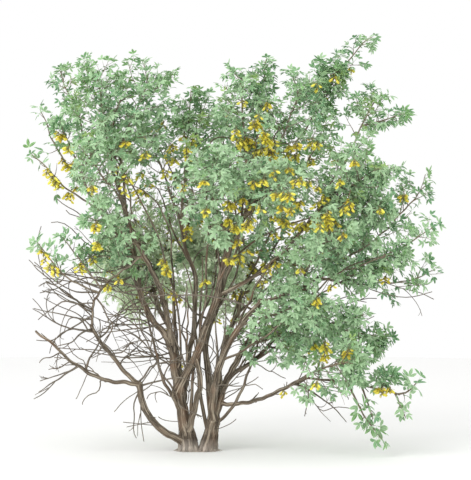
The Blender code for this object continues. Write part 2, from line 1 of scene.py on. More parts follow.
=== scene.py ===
"""Bean trefoil shrub: the bark, twigs, leaves and blossom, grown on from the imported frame."""

import math
import random

import bpy
import numpy as np
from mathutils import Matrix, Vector
from mathutils.kdtree import KDTree


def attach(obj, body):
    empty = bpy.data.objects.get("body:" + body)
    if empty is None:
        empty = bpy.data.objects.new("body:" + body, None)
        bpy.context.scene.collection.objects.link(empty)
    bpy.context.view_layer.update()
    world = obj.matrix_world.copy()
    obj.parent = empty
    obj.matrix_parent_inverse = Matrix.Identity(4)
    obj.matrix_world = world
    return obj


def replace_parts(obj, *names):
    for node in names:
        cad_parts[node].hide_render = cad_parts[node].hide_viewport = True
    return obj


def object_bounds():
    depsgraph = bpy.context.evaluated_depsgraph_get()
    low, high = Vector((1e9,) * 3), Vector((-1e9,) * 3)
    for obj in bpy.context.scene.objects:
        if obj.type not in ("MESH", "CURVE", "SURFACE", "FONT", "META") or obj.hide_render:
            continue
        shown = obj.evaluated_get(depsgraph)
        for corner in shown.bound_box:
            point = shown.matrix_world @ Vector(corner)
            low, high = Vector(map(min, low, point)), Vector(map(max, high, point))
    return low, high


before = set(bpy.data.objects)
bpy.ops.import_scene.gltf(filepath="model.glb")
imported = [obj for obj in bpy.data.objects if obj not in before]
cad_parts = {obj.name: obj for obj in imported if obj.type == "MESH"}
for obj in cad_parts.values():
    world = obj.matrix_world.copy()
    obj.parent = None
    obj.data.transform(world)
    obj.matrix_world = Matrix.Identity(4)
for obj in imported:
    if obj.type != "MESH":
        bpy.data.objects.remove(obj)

solid_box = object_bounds()

# ---------------------------------------------------------------- studio
# A pale floor with no edge in sight, white all round, and three large soft lamps: one above each
# shoulder of whoever looks at the shrub, and a low one. A long lens looks level, from in front.

VIEW_CENTRE = (0.2175, 1.192)  # across and up, where the middle of the view meets the shrub
VIEW_HEIGHT = 2.712  # metres from top to bottom of the view, at the shrub
VIEW_DISTANCE = 11.0
FILM_WIDTH = 36.0  # millimetres
FLOOR_RADIUS = 9.0
FLOOR_SIDES = 96
FLOOR_COLOUR = (0.94, 0.94, 0.93, 1)
FLOOR_ROUGHNESS = 0.9
LAMPS = (  # place, width, watts
    ((-3.4, -5.2, 5.4), 3.5, 205),
    ((4.6, -3.6, 3.4), 3.0, 35),
    ((-1.5, -6.5, 1.1), 3.0, 75),
)

scene = bpy.context.scene
scene.view_settings.view_transform = "Standard"

lens = bpy.data.cameras.new("camera")
lens.sensor_width = FILM_WIDTH
lens.lens = FILM_WIDTH * VIEW_DISTANCE / VIEW_HEIGHT
camera = bpy.data.objects.new("camera", lens)
camera.location = (VIEW_CENTRE[0], -VIEW_DISTANCE, VIEW_CENTRE[1])
camera.rotation_euler = (math.radians(90), 0, 0)
scene.collection.objects.link(camera)
scene.camera = camera

world = bpy.data.worlds.new("white_surround")
world.use_nodes = True
world.node_tree.nodes["Background"].inputs["Color"].default_value = (1, 1, 1, 1)
world.node_tree.nodes["Background"].inputs["Strength"].default_value = 1.0
scene.world = world

for number, (place, width, watts) in enumerate(LAMPS):
    lamp = bpy.data.lights.new(f"lamp_{number}", "AREA")
    lamp.size = width
    lamp.energy = watts
    holder = bpy.data.objects.new(f"lamp_{number}", lamp)
    holder.location = place
    aim = Vector((VIEW_CENTRE[0], 0, VIEW_CENTRE[1])) - Vector(place)
    holder.rotation_euler = aim.to_track_quat("-Z", "Y").to_euler()
    scene.collection.objects.link(holder)

floor_paint = bpy.data.materials.new("pale_floor")
floor_paint.use_nodes = True
floor_shader = floor_paint.node_tree.nodes["Principled BSDF"]
floor_shader.inputs["Base Color"].default_value = FLOOR_COLOUR
floor_shader.inputs["Roughness"].default_value = FLOOR_ROUGHNESS
bpy.ops.mesh.primitive_circle_add(vertices=FLOOR_SIDES, radius=FLOOR_RADIUS, fill_type="NGON")
floor = bpy.context.object
floor.name = "floor"
floor.data.materials.append(floor_paint)

# ---------------------------------------------------------------- root crown and trunks
# Two short trunks that rise fluted from one root crown, which is cut flat at the ground. Old wood
# under brown-grey bark that frays into long fibres, paler at the foot and reddish in places.

TIP_JOIN = 0.985  # how far along its parent a limb is rooted that grows from the parent's tip
WOBBLES = ((0.010, (3, 5)), (0.0055, (9, 14)))  # how crooked a limb is, beside its length, and its waves
FEWEST_RUNS = 8
TAPER_POWER = 0.8
TRUNK_TAPER_POWER = 1.5
NO_PUSH = (0, 0, 0)
TINY = 1e-12
UPRIGHT = 0.8  # a tube steeper than this has its sides set out from another level than one that lies
PATTERN_SHIFT = 0.37  # metres between the bark patterns of neighbouring tubes
RIDGES = (2, 3, 5, 7, 8, 10)  # bark ridges round a limb, as many as its sides can show
SIDES_A_RIDGE = 3
RIDGE_WINDING = 1.5  # how far the ridges may wind round a limb in a metre
RIDGE_SWAY = 0.7
RIDGE_FADE = 0.25
KNOT_HEIGHT = 0.6
RIDGE_FLATTENING = 1.6
SWAY_WAVES, FADE_WAVES, KNOT_WAVES = (5, 12), (9, 25), (14, 22)  # in a metre, from and to


class Centreline:
    """The line that a limb or stem follows between its foot and its tip, and its radius there."""

    def __init__(self, foot, tip, bow, radii, seed, sway=NO_PUSH, power=TAPER_POWER, step=0.01):
        foot, tip, bow, sway = (np.array(v, float) for v in (foot, tip, bow, sway))
        chord = np.linalg.norm(tip - foot)
        share = np.linspace(0, 1, max(FEWEST_RUNS, round(chord / step)) + 1)
        self.points = foot + np.outer(share, tip - foot)
        self.points += np.outer(np.sin(math.pi * share), bow)
        self.points += np.outer(np.sin(2 * math.pi * share), sway)
        draw = random.Random(seed)
        for most, waves in WOBBLES:
            for wave in waves:
                push = np.array([draw.uniform(-1, 1) for _ in range(3)]) * (most * waves[0] / wave) * chord
                self.points += np.outer(np.sin(wave * math.pi * share), push)
        self.radii = radii[1] + (radii[0] - radii[1]) * (1 - share) ** power
        self.runs = np.diff(self.points, axis=0)
        self.along = np.concatenate([[0], np.cumsum(np.linalg.norm(self.runs, axis=1))])
        self.length = self.along[-1]

    def at(self, share):
        """The point, radius and heading at a share of the length."""
        distance = share * self.length
        run = int(np.clip(np.searchsorted(self.along, distance) - 1, 0, len(self.runs) - 1))
        part = (distance - self.along[run]) / (self.along[run + 1] - self.along[run])
        radius = self.radii[run] * (1 - part) + self.radii[run + 1] * part
        heading = self.runs[run] / np.linalg.norm(self.runs[run])
        return self.points[run] + self.runs[run] * part, radius, heading

    def above_bark(self, places):
        """How far each place is outside the bark, and the way straight out of it."""
        share = (places[:, None] - self.points[None, :-1]) * self.runs
        share = np.clip(share.sum(2) / (self.runs * self.runs).sum(1), 0, 1)
        away = places[:, None] - self.points[None, :-1] - share[..., None] * self.runs
        distance = np.linalg.norm(away, axis=2)
        space = distance - self.radii[:-1] - share * np.diff(self.radii)
        rows, nearest = np.arange(len(places)), space.argmin(1)
        way = away[rows, nearest] / np.maximum(distance[rows, nearest], 1e-9)[:, None]
        return space[rows, nearest], way


def unit(vectors):
    """Vectors made one metre long."""
    return vectors / np.maximum(np.linalg.norm(vectors, axis=-1, keepdims=True), TINY)


def tube_faces(rings, sides):
    """The triangles of one closed tube: its wall, its foot and its tip."""
    ring, corner = np.meshgrid(np.arange(rings - 1), np.arange(sides), indexing="ij")
    low, beside = ring * sides + corner, ring * sides + (corner + 1) % sides
    wall = np.stack([low, beside, beside + sides, low, beside + sides, low + sides], -1).reshape(-1, 3)
    fan = np.array([(0, number, number + 1) for number in range(1, sides - 1)])
    return np.concatenate([wall, fan[:, ::-1], fan + (rings - 1) * sides])


def round_tubes(lines, radii, sides, swell=None):
    """Corners, triangles and straightened places of tubes, each along one line and closed."""
    lines, radii = np.asarray(lines, float), np.asarray(radii, float)
    count, rings = radii.shape
    ahead = unit(np.gradient(lines, axis=1))
    chord = unit(lines[:, -1] - lines[:, 0])
    level = np.where(np.abs(chord[:, 2:]) > UPRIGHT, [[1.0, 0.2, 0.1]], [[0.1, 0.2, 1.0]])
    across = unit(np.cross(chord, level))[:, None]
    side = unit(across - ahead * (ahead * across).sum(2, keepdims=True))
    over = np.cross(ahead, side)
    turn = 2 * math.pi * np.arange(sides) / sides
    out = side[:, :, None] * np.cos(turn)[:, None] + over[:, :, None] * np.sin(turn)[:, None]
    reach = radii[:, :, None] * (1 if swell is None else swell)
    corners = lines[:, :, None] + out * reach[..., None]
    along = np.linalg.norm(np.diff(lines, axis=1), axis=2).cumsum(1)
    along = np.concatenate([np.zeros((count, 1)), along], 1)
    straight = np.empty_like(corners)
    straight[..., 0] = np.cos(turn) * radii[:, :, None]
    straight[..., 1] = np.sin(turn) * radii[:, :, None]
    straight[..., 2] = along[:, :, None]
    straight += (np.arange(count) * PATTERN_SHIFT)[:, None, None, None]
    faces = tube_faces(rings, sides)[None] + (np.arange(count) * rings * sides)[:, None, None]
    return corners.reshape(-1, 3), faces.reshape(-1, 3), straight.reshape(-1, 3), out.reshape(-1, 3)


def mesh_piece(name, corners, faces, finishes, marks=None, finish_of_face=None, smooth=True):
    """An object from arrays of corners and triangles. marks are named vectors, one a corner."""
    mesh = bpy.data.meshes.new(name)
    mesh.vertices.add(len(corners))
    mesh.vertices.foreach_set("co", np.asarray(corners, np.float32).ravel())
    mesh.loops.add(faces.size)
    mesh.loops.foreach_set("vertex_index", np.asarray(faces, np.int32).ravel())
    mesh.polygons.add(len(faces))
    mesh.polygons.foreach_set("loop_start", np.arange(0, faces.size, 3, dtype=np.int32))
    mesh.polygons.foreach_set("use_smooth", np.full(len(faces), smooth))
    for finish in finishes:
        mesh.materials.append(finish)
    if finish_of_face is not None:
        mesh.polygons.foreach_set("material_index", np.asarray(finish_of_face, np.int32))
    for mark, values in (marks or {}).items():
        layer = mesh.attributes.new(mark, "FLOAT_VECTOR", "POINT")
        layer.data.foreach_set("vector", np.asarray(values, np.float32).ravel())
    mesh.update(calc_edges=True)
    mesh.validate()
    piece = bpy.data.objects.new(name, mesh)
    scene.collection.objects.link(piece)
    return piece


def bark_ridges(sides, along, seed, depth):
    """How much a limb's surface swells round each ring: long ridges that wander as they climb."""
    draw = random.Random(seed)
    turn = 2 * math.pi * np.arange(sides) / sides
    swell = np.zeros((len(along), sides))

    def waving(waves):
        return np.sin(draw.uniform(*waves) * along + draw.uniform(0, 6))

    for ridges in RIDGES:
        if ridges > sides / SIDES_A_RIDGE:
            continue
        drift = draw.uniform(-RIDGE_WINDING, RIDGE_WINDING) * along + RIDGE_SWAY * waving(SWAY_WAVES)
        fade = 1 - RIDGE_FADE + RIDGE_FADE * waving(FADE_WAVES)
        wave = np.cos(ridges * turn[None] + (drift + draw.uniform(0, 6))[:, None])
        swell += wave * fade[:, None] * draw.uniform(0.5, 1.0)
    knots = KNOT_HEIGHT * waving(KNOT_WAVES)
    return 1 + depth * (swell / RIDGE_FLATTENING + knots[:, None])


def sockets(group, kind, rows):
    """Named inputs or outputs of a node group: a name, a socket type and a starting value."""
    for name, socket, value in rows:
        made = group.interface.new_socket(name, in_out=kind, socket_type=socket)
        if value is not None:
            made.default_value = value


def feed(tree, socket, value):
    """Sets a socket, or links it where the value is another node's output."""
    if isinstance(value, bpy.types.NodeSocket):
        tree.links.new(value, socket)
    else:
        socket.default_value = value


def new_node(tree, kind, **values):
    """A node with some of its inputs set: by name, with underscores for spaces."""
    made = tree.nodes.new(kind)
    for name, value in values.items():
        feed(tree, made.inputs[name.replace("_", " ")], value)
    return made


def mark_node(tree, mark):
    """The vector that a mesh carries at its corners under a name."""
    made = tree.nodes.new("ShaderNodeAttribute")
    made.attribute_name = mark
    return made.outputs["Vector"]


def mixed(tree, share, first, second):
    """The colour output of a mix of two colours by a share."""
    made = tree.nodes.new("ShaderNodeMix")
    made.data_type = "RGBA"
    for number, value in ((0, share), (6, first), (7, second)):
        feed(tree, made.inputs[number], (*value, 1) if isinstance(value, tuple) else value)
    return made.outputs[2]


def between(tree, value, low, high, to_low=0.0, to_high=1.0):
    """A value mapped from one range to another, and kept within it."""
    made = new_node(tree, "ShaderNodeMapRange", Value=value, From_Min=low, From_Max=high,
                    To_Min=to_low, To_Max=to_high)
    return made.outputs["Result"]


def new_finish(name):
    """A new material: itself, its nodes and its shader."""
    made = bpy.data.materials.new(name)
    made.use_nodes = True
    return made, made.node_tree, made.node_tree.nodes["Principled BSDF"]


# Bark fibre: long streaks along a limb, from places measured on the limb as if it were straight.
fibre = bpy.data.node_groups.new("bark_fibre", "ShaderNodeTree")
sockets(fibre, "INPUT", [("Place", "NodeSocketVector", None), ("Across", "NodeSocketFloat", 120.0),
                         ("Along", "NodeSocketFloat", 7.0), ("Wander", "NodeSocketFloat", 1.2)])
sockets(fibre, "OUTPUT", [("Streaks", "NodeSocketFloat", None), ("Height", "NodeSocketFloat", None)])
given = fibre.nodes.new("NodeGroupInput")
spread = new_node(fibre, "ShaderNodeCombineXYZ", X=given.outputs["Across"], Y=given.outputs["Across"],
                  Z=given.outputs["Along"])
drawn = fibre.nodes.new("ShaderNodeVectorMath")
drawn.operation = "MULTIPLY"
fibre.links.new(given.outputs["Place"], drawn.inputs[0])
fibre.links.new(spread.outputs["Vector"], drawn.inputs[1])
fine = new_node(fibre, "ShaderNodeTexNoise", Vector=drawn.outputs["Vector"], Scale=1.0, Detail=5.0,
                Roughness=0.62, Distortion=given.outputs["Wander"])
streaks = between(fibre, fine.outputs["Fac"], 0.36, 0.66)
result = fibre.nodes.new("NodeGroupOutput")
fibre.links.new(streaks, result.inputs["Streaks"])
fibre.links.new(fine.outputs["Fac"], result.inputs["Height"])


COARSE_FIBRES = 0.3  # how close together the coarse streaks are, beside the fine ones
PALE_FOOT = (0.74, 0.67, 0.59)
PALE_UP_TO = 0.075  # metres above the ground


def bark_finish(name, tones, across, along, relief, pale_foot=False):
    """A bark material from four tones: deep cracks, body, pale fibres and reddish patches."""
    made, tree, shader = new_finish(name)
    place = mark_node(tree, "straight")
    coarse, fine = (tree.nodes.new("ShaderNodeGroup") for _ in range(2))
    for group, scale in ((coarse, COARSE_FIBRES), (fine, 1.0)):
        group.node_tree = fibre
        tree.links.new(place, group.inputs["Place"])
        group.inputs["Across"].default_value = across * scale
        group.inputs["Along"].default_value = along * scale
    where = new_node(tree, "ShaderNodeNewGeometry").outputs["Position"]
    patches = new_node(tree, "ShaderNodeTexNoise", Vector=where, Scale=9.0, Detail=3.0)
    crack, body, pale, reddish = tones
    colour = mixed(tree, coarse.outputs["Streaks"], crack, body)
    colour = mixed(tree, between(tree, patches.outputs["Fac"], 0.52, 0.70, 0.0, 0.6), colour, reddish)
    colour = mixed(tree, between(tree, fine.outputs["Streaks"], 0.35, 1.0, 0.0, 0.85), colour, pale)
    if pale_foot:
        height = new_node(tree, "ShaderNodeSeparateXYZ", Vector=where).outputs["Z"]
        colour = mixed(tree, between(tree, height, PALE_UP_TO, 0.0, 0.0, 0.6), colour, PALE_FOOT)
    tree.links.new(colour, shader.inputs["Base Color"])
    roughness = between(tree, fine.outputs["Height"], 0.3, 0.7, 0.95, 0.75)
    tree.links.new(roughness, shader.inputs["Roughness"])
    bump = new_node(tree, "ShaderNodeBump", Height=fine.outputs["Height"], Strength=0.8, Distance=relief)
    tree.links.new(bump.outputs["Normal"], shader.inputs["Normal"])
    return made


OLD_BARK_TONES = (
    (0.030, 0.022, 0.015),
    (0.160, 0.120, 0.080),
    (0.48, 0.41, 0.31),
    (0.19, 0.100, 0.055),
)
old_bark = bark_finish("old_bark", OLD_BARK_TONES, 115.0, 6.0, 0.004, pale_foot=True)

TRUNKS = {  # foot inside the root crown, tip, bow, radii
    "left_trunk": ((-0.047, 0.0, 0.018), (-0.108, 0.01, 0.32), (0.01, 0, 0), (0.050, 0.031)),
    "right_trunk": ((0.062, 0.0, 0.018), (0.092, -0.01, 0.165), NO_PUSH, (0.046, 0.037)),
}
CLOSING = ((0.35, 0.86), (0.7, 0.5))  # a limb's rounded end: how far beyond its tip, and how wide
FLARE = 0.04  # how much wider a trunk is at the ground than its own radius
FLARE_HEIGHT = 0.012
FIBRES = 260  # loose strips of bark round the foot
FIBRE_LENGTHS = (0.025, 0.09)
FIBRE_RADIUS = 0.0019
FIBRE_TAPER = (0.6, 1.0, 0.3)
FIBRES_UP_TO = 0.35  # how far up a trunk they start, most of them low down
FIBRE_CROWDING = 1.5
FIBRE_STANDOFF = 0.003
TRUNK_SIDES = 44
TRUNK_RING = 0.006
TRUNK_RELIEF = 0.085
ROOT_RADII = (0.098, 0.060)  # the root crown at the ground, across and front to back
ROOT_CENTRE = 0.006
ROOT_HEIGHT = 0.010
ROOT_WAVES = ((5, 0.07, 0), (13, 0.03, 1), (29, 0.02, 0))  # lobes round it, how far out, turned by
ROOT_SPREAD = (0.62, 1.7, 3)  # share of its width that falls off fast, and how fast each share does
ROOT_SIDES = 72
ROOT_RINGS = 15
BUTTRESS = (0.011, 0.055)  # how far the trunks' ribs run out at the ground, and up to what height
BROAD_RIBS, NARROW_RIBS = 5, 13  # round each trunk's foot
NARROW_RIB_HEIGHT = 0.5  # beside the broad ones
FINE_ROOTS = 90  # pale torn roots that lie round the foot
FINE_ROOT_LENGTHS = (0.012, 0.040)
FINE_ROOT_RADIUS = 0.0022
FINE_ROOT_TAPER = (1.0, 0.8, 0.3)
FRAY_SIDES = 4
FRAY_SEED = 7

lines = {}  # every centreline, by name
parents = {}
skins = {}  # name: corners, faces, straight places and outward ways, before the forks are filled


def limb_skin(line, sides, seed, relief):
    """The ridged bark of a limb: a tube along its line that is rounded off beyond its tip."""
    points, widths, along = line.points, line.radii, line.along
    for beyond, width in CLOSING:
        points = np.vstack([points, line.points[-1] + unit(line.runs[-1]) * line.radii[-1] * beyond])
        widths = np.append(widths, line.radii[-1] * width)
        along = np.append(along, line.length)
    return round_tubes(points[None], widths[None], sides, bark_ridges(sides, along, seed, relief)[None])


for seed, (name, (foot, tip, bow, radii)) in enumerate(TRUNKS.items()):
    line = Centreline(foot, tip, bow, radii, seed, power=TRUNK_TAPER_POWER, step=TRUNK_RING)
    line.radii *= 1 + FLARE * np.exp(-line.along / FLARE_HEIGHT)
    skins[name] = limb_skin(line, TRUNK_SIDES, seed, TRUNK_RELIEF)
    lines[name], parents[name] = line, None

# The root crown itself, a low mound whose lobes run out to the ground.
turn = 2 * math.pi * np.arange(ROOT_SIDES) / ROOT_SIDES
level = np.linspace(0, 1, ROOT_RINGS)[:, None]
steep, steep_power, gentle_power = ROOT_SPREAD
spread = (1 - level) ** steep_power * steep + (1 - steep) * (1 - level**gentle_power)
lobed = 1 + sum(out * np.cos(lobes * turn + shift) for lobes, out, shift in ROOT_WAVES) * (1 - level)
mound = np.stack([ROOT_CENTRE + ROOT_RADII[0] * np.cos(turn) * spread * lobed,
                  ROOT_RADII[1] * np.sin(turn) * spread * lobed,
                  ROOT_HEIGHT * level + 0 * turn], -1)
mound_out = unit(mound - (ROOT_CENTRE, 0, 0)).reshape(-1, 3)
mound = mound.reshape(-1, 3)
skins["root_mound"] = (mound, tube_faces(ROOT_RINGS, ROOT_SIDES), mound, mound_out)

# ---------------------------------------------------------------- stems and boughs
# The crooked stems that rise from the root crown and fork into boughs. Each is one tapering limb
# of live wood in stringy bark, and its foot swells into the limb that it grew from.

STEMS = {  # name: parent, how far along it, tip, bow, radii and, where there is one, sway
    # The low stem that leaves the root crown to the left, and what it carries.
    "low_stem": ("left_trunk", 0.06, (-0.32, -0.13, 0.39), (-0.065, -0.02, -0.035), (0.021, 0.016)),
    "low_left_bough": ("low_stem", 1, (-0.88, -0.3, 0.69), (0.02, 0, -0.085), (0.0125, 0.006)),
    "rising_bough": ("low_stem", 1, (-0.6, 0.02, 0.71), (-0.02, 0.01, -0.01), (0.0125, 0.0095)),
    "elbow_bough": ("rising_bough", 1, (-0.32, -0.2, 1.09), (-0.085, -0.03, 0), (0.0078, 0.0045)),
    # What grows from the left trunk.
    "main_left_stem": ("left_trunk", 1, (-0.15, 0.06, 0.6), (0.005, 0, 0), (0.0255, 0.0225)),
    "outer_left_stem": ("main_left_stem", 1, (-0.38, 0.14, 1.14), (-0.04, 0, -0.03), (0.0185, 0.013)),
    "inner_left_stem": ("main_left_stem", 1, (-0.36, -0.06, 1.21), (0.045, 0, 0.01), (0.018, 0.012)),
    "left_high_bough": ("outer_left_stem", 1, (-0.65, 0.12, 1.51), (-0.02, 0, 0), (0.0105, 0.0075)),
    "left_crown_bough": ("inner_left_stem", 1, (-0.47, -0.12, 1.59), NO_PUSH, (0.010, 0.008)),
    "centre_stem": ("left_trunk", 1, (0.19, -0.15, 1.17), (0.015, 0, -0.03), (0.024, 0.016)),
    "centre_bough": ("centre_stem", 1, (0.3, -0.2, 1.46), (0.02, 0, 0), (0.0125, 0.009)),
    "centre_side_bough": ("centre_stem", 1, (0.09, -0.22, 1.39), (0.01, 0, -0.01), (0.0115, 0.008)),
    "long_right_bough": ("centre_stem", 0.66, (0.68, -0.24, 1.37), (0.03, 0, -0.05), (0.0125, 0.007)),
    # Stems from the back of the root crown.
    "mid_stem": ("left_trunk", 0.10, (-0.11, 0.2, 1.34), (0.05, 0.06, 0), (0.0185, 0.009), (-0.035, 0, 0)),
    "rear_left_stem": ("left_trunk", 0.22, (-0.27, 0.45, 0.91), (0.04, 0.08, 0), (0.0175, 0.011)),
    "rear_right_stem": ("right_trunk", 0.35, (0.3, 0.48, 1.02), (-0.03, 0.08, 0), (0.0185, 0.011)),
    # What grows from the right trunk.
    "inner_right_stem": ("right_trunk", 1, (0.2, 0.12, 1.07), (-0.085, 0.02, 0), (0.019, 0.013)),
    "middle_right_stem": ("right_trunk", 1, (0.37, -0.18, 0.86), (-0.085, -0.02, 0.03), (0.022, 0.014)),
    "right_high_bough": ("middle_right_stem", 1, (0.68, -0.22, 0.99), (0, 0, -0.02), (0.011, 0.0075)),
    "outer_right_stem": ("right_trunk", 1, (0.28, 0.04, 0.61), (-0.02, 0, 0), (0.021, 0.015)),
    "far_right_stem": ("outer_right_stem", 0.55, (0.5, 0.14, 0.69), (0, 0.02, -0.03), (0.013, 0.0095)),
    "low_right_bough": ("outer_right_stem", 0.22, (0.6, -0.2, 0.43), (-0.02, 0, -0.05), (0.012, 0.0085)),
    "low_right_arm": ("low_right_bough", 1, (1.12, -0.28, 0.34), (0, 0, 0.02), (0.007, 0.0045)),
}
FIRST_STEM_SEED = 100
STEM_RING = 0.009
THICK, THIN = 0.0125, 0.0077  # radii that set how many sides a limb has
STEM_SIDES = (28, 18, 12)
STEM_RELIEF = 0.055
FILLET = 1.3  # how far a fork's web of bark reaches, in radii of the thinner limb

for seed, (name, (parent, place, tip, bow, radii, *sway)) in enumerate(STEMS.items(), FIRST_STEM_SEED):
    foot = lines[parent].at(min(place, TIP_JOIN))[0]
    line = Centreline(foot, tip, bow, radii, seed, *sway, step=STEM_RING)
    lines[name], parents[name] = line, parent
    sides = STEM_SIDES[0] if radii[0] > THICK else STEM_SIDES[1] if radii[0] > THIN else STEM_SIDES[2]
    skins[name] = limb_skin(line, sides, seed, STEM_RELIEF)


def kin_of(name):
    """The limbs that part from a limb, or from which it parts."""
    parent = parents.get(name)
    found = {other for other in lines if parents[other] == name or (parent and parents[other] == parent)}
    trunks = set(TRUNKS)
    if name == "root_mound" or parent in trunks:
        found |= trunks | {other for other in lines if parents[other] in trunks}
    return (found | ({parent} if parent else set())) - {name}


# Where limbs part, their bark swells into a web: each surface is drawn out towards the other.
turn = 2 * math.pi * np.arange(TRUNK_SIDES) / TRUNK_SIDES
for name, (corners, faces, straight, out) in skins.items():
    own = lines[name].radii.max() if name in lines else ROOT_HEIGHT
    for other in sorted(kin_of(name)):
        space, way = lines[other].above_bark(corners)
        near = FILLET * min(own, lines[other].radii.max())
        pull = np.clip(1 - np.abs(space) / near, 0, 1) ** 2 * near / 4
        corners = corners + unit(out + way * (pull / near * 2)[:, None]) * pull[:, None]
    corners[:, 2] = np.maximum(corners[:, 2], 0)
    if name in TRUNKS:
        corners[:TRUNK_SIDES, 2] = 0  # the trunk's foot is spread on the ground
        rib = np.clip(np.cos(BROAD_RIBS * turn), 0, 1) ** 2
        rib += NARROW_RIB_HEIGHT * np.clip(np.cos(NARROW_RIBS * turn + 1), 0, 1)
        low_share = np.clip(1 - corners[:, 2] / BUTTRESS[1], 0, 1) ** 2
        ribs = np.tile(rib, len(corners) // TRUNK_SIDES) * low_share * BUTTRESS[0]
        corners += out * ribs[:, None] * (1, 1, 0)
    skins[name] = (corners, faces, straight)

stem_bark = bark_finish("stem_bark", OLD_BARK_TONES, 130.0, 7.0, 0.003)
root_parts = [skins.pop(name) for name in [*TRUNKS, "root_mound"]]
fray = random.Random(FRAY_SEED)


def outwards():
    """A level heading away from a trunk's middle, drawn at random."""
    turned = fray.uniform(0, 2 * math.pi)
    return np.array((math.cos(turned), math.sin(turned), 0))


def joined(name, parts, finish):
    """One piece of bark from several lots of tubes."""
    starts = np.cumsum([0] + [len(part[0]) for part in parts])
    return mesh_piece(
        name,
        np.concatenate([part[0] for part in parts]),
        np.concatenate([part[1] + start for part, start in zip(parts, starts)]),
        [finish],
        {"straight": np.concatenate([part[2] for part in parts])},
    )


for trunk in TRUNKS:
    for _ in range(FIBRES // 2):
        share = fray.uniform(0.0, FIBRES_UP_TO) ** FIBRE_CROWDING
        out = outwards()
        middle, width, _ = lines[trunk].at(share)
        start = middle + out * (width + 0.001)
        length = fray.uniform(*FIBRE_LENGTHS)
        top = lines[trunk].at(share + length / lines[trunk].length)
        top = top[0] + out * (top[1] + fray.uniform(0.0, 0.004))
        low = start + out * fray.uniform(0.0, 0.012) - np.array((0, 0, min(start[2] - 0.002, 0.02)))
        strip = np.array([low, start * 0.6 + top * 0.4 + out * FIBRE_STANDOFF, top])
        widths = np.array([FIBRE_TAPER]) * FIBRE_RADIUS
        root_parts.append(round_tubes(strip[None], widths, FRAY_SIDES)[:3])
for number in range(FINE_ROOTS):
    middle, width, _ = lines[("left_trunk", "right_trunk")[number % 2]].at(0)
    out = outwards()
    length = fray.uniform(*FINE_ROOT_LENGTHS)
    side = np.array((-out[1], out[0], 0)) * fray.uniform(-0.5, 0.5)
    inner = middle * (1, 1, 0) + out * width * 0.95 + (0, 0, fray.uniform(0.004, 0.018))
    outer = inner * (1, 1, 0) + (out + side) * length + (0, 0, FINE_ROOT_RADIUS)
    bent = (inner + outer) / 2 + (0, 0, fray.uniform(0.0, 0.006))
    widths = np.array([FINE_ROOT_TAPER]) * FINE_ROOT_RADIUS
    root_parts.append(round_tubes(np.array([[inner, bent, outer]]), widths, FRAY_SIDES)[:3])
root_crown = joined("root_crown_bark", root_parts, old_bark)
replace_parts(root_crown, "root_crown")
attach(root_crown, "root")
for name, (corners, faces, straight) in skins.items():
    piece = mesh_piece(name + "_bark", corners, faces, [stem_bark], {"straight": straight})
    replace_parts(piece, name)
    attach(piece, "root")

# ---------------------------------------------------------------- leafy shoots
# Each mass of the crown grows on from its limb: one stem, side twigs a golden angle apart, twiglets
# on those, and leaves of three leaflets on thin stalks. It is the growth of the last two years.

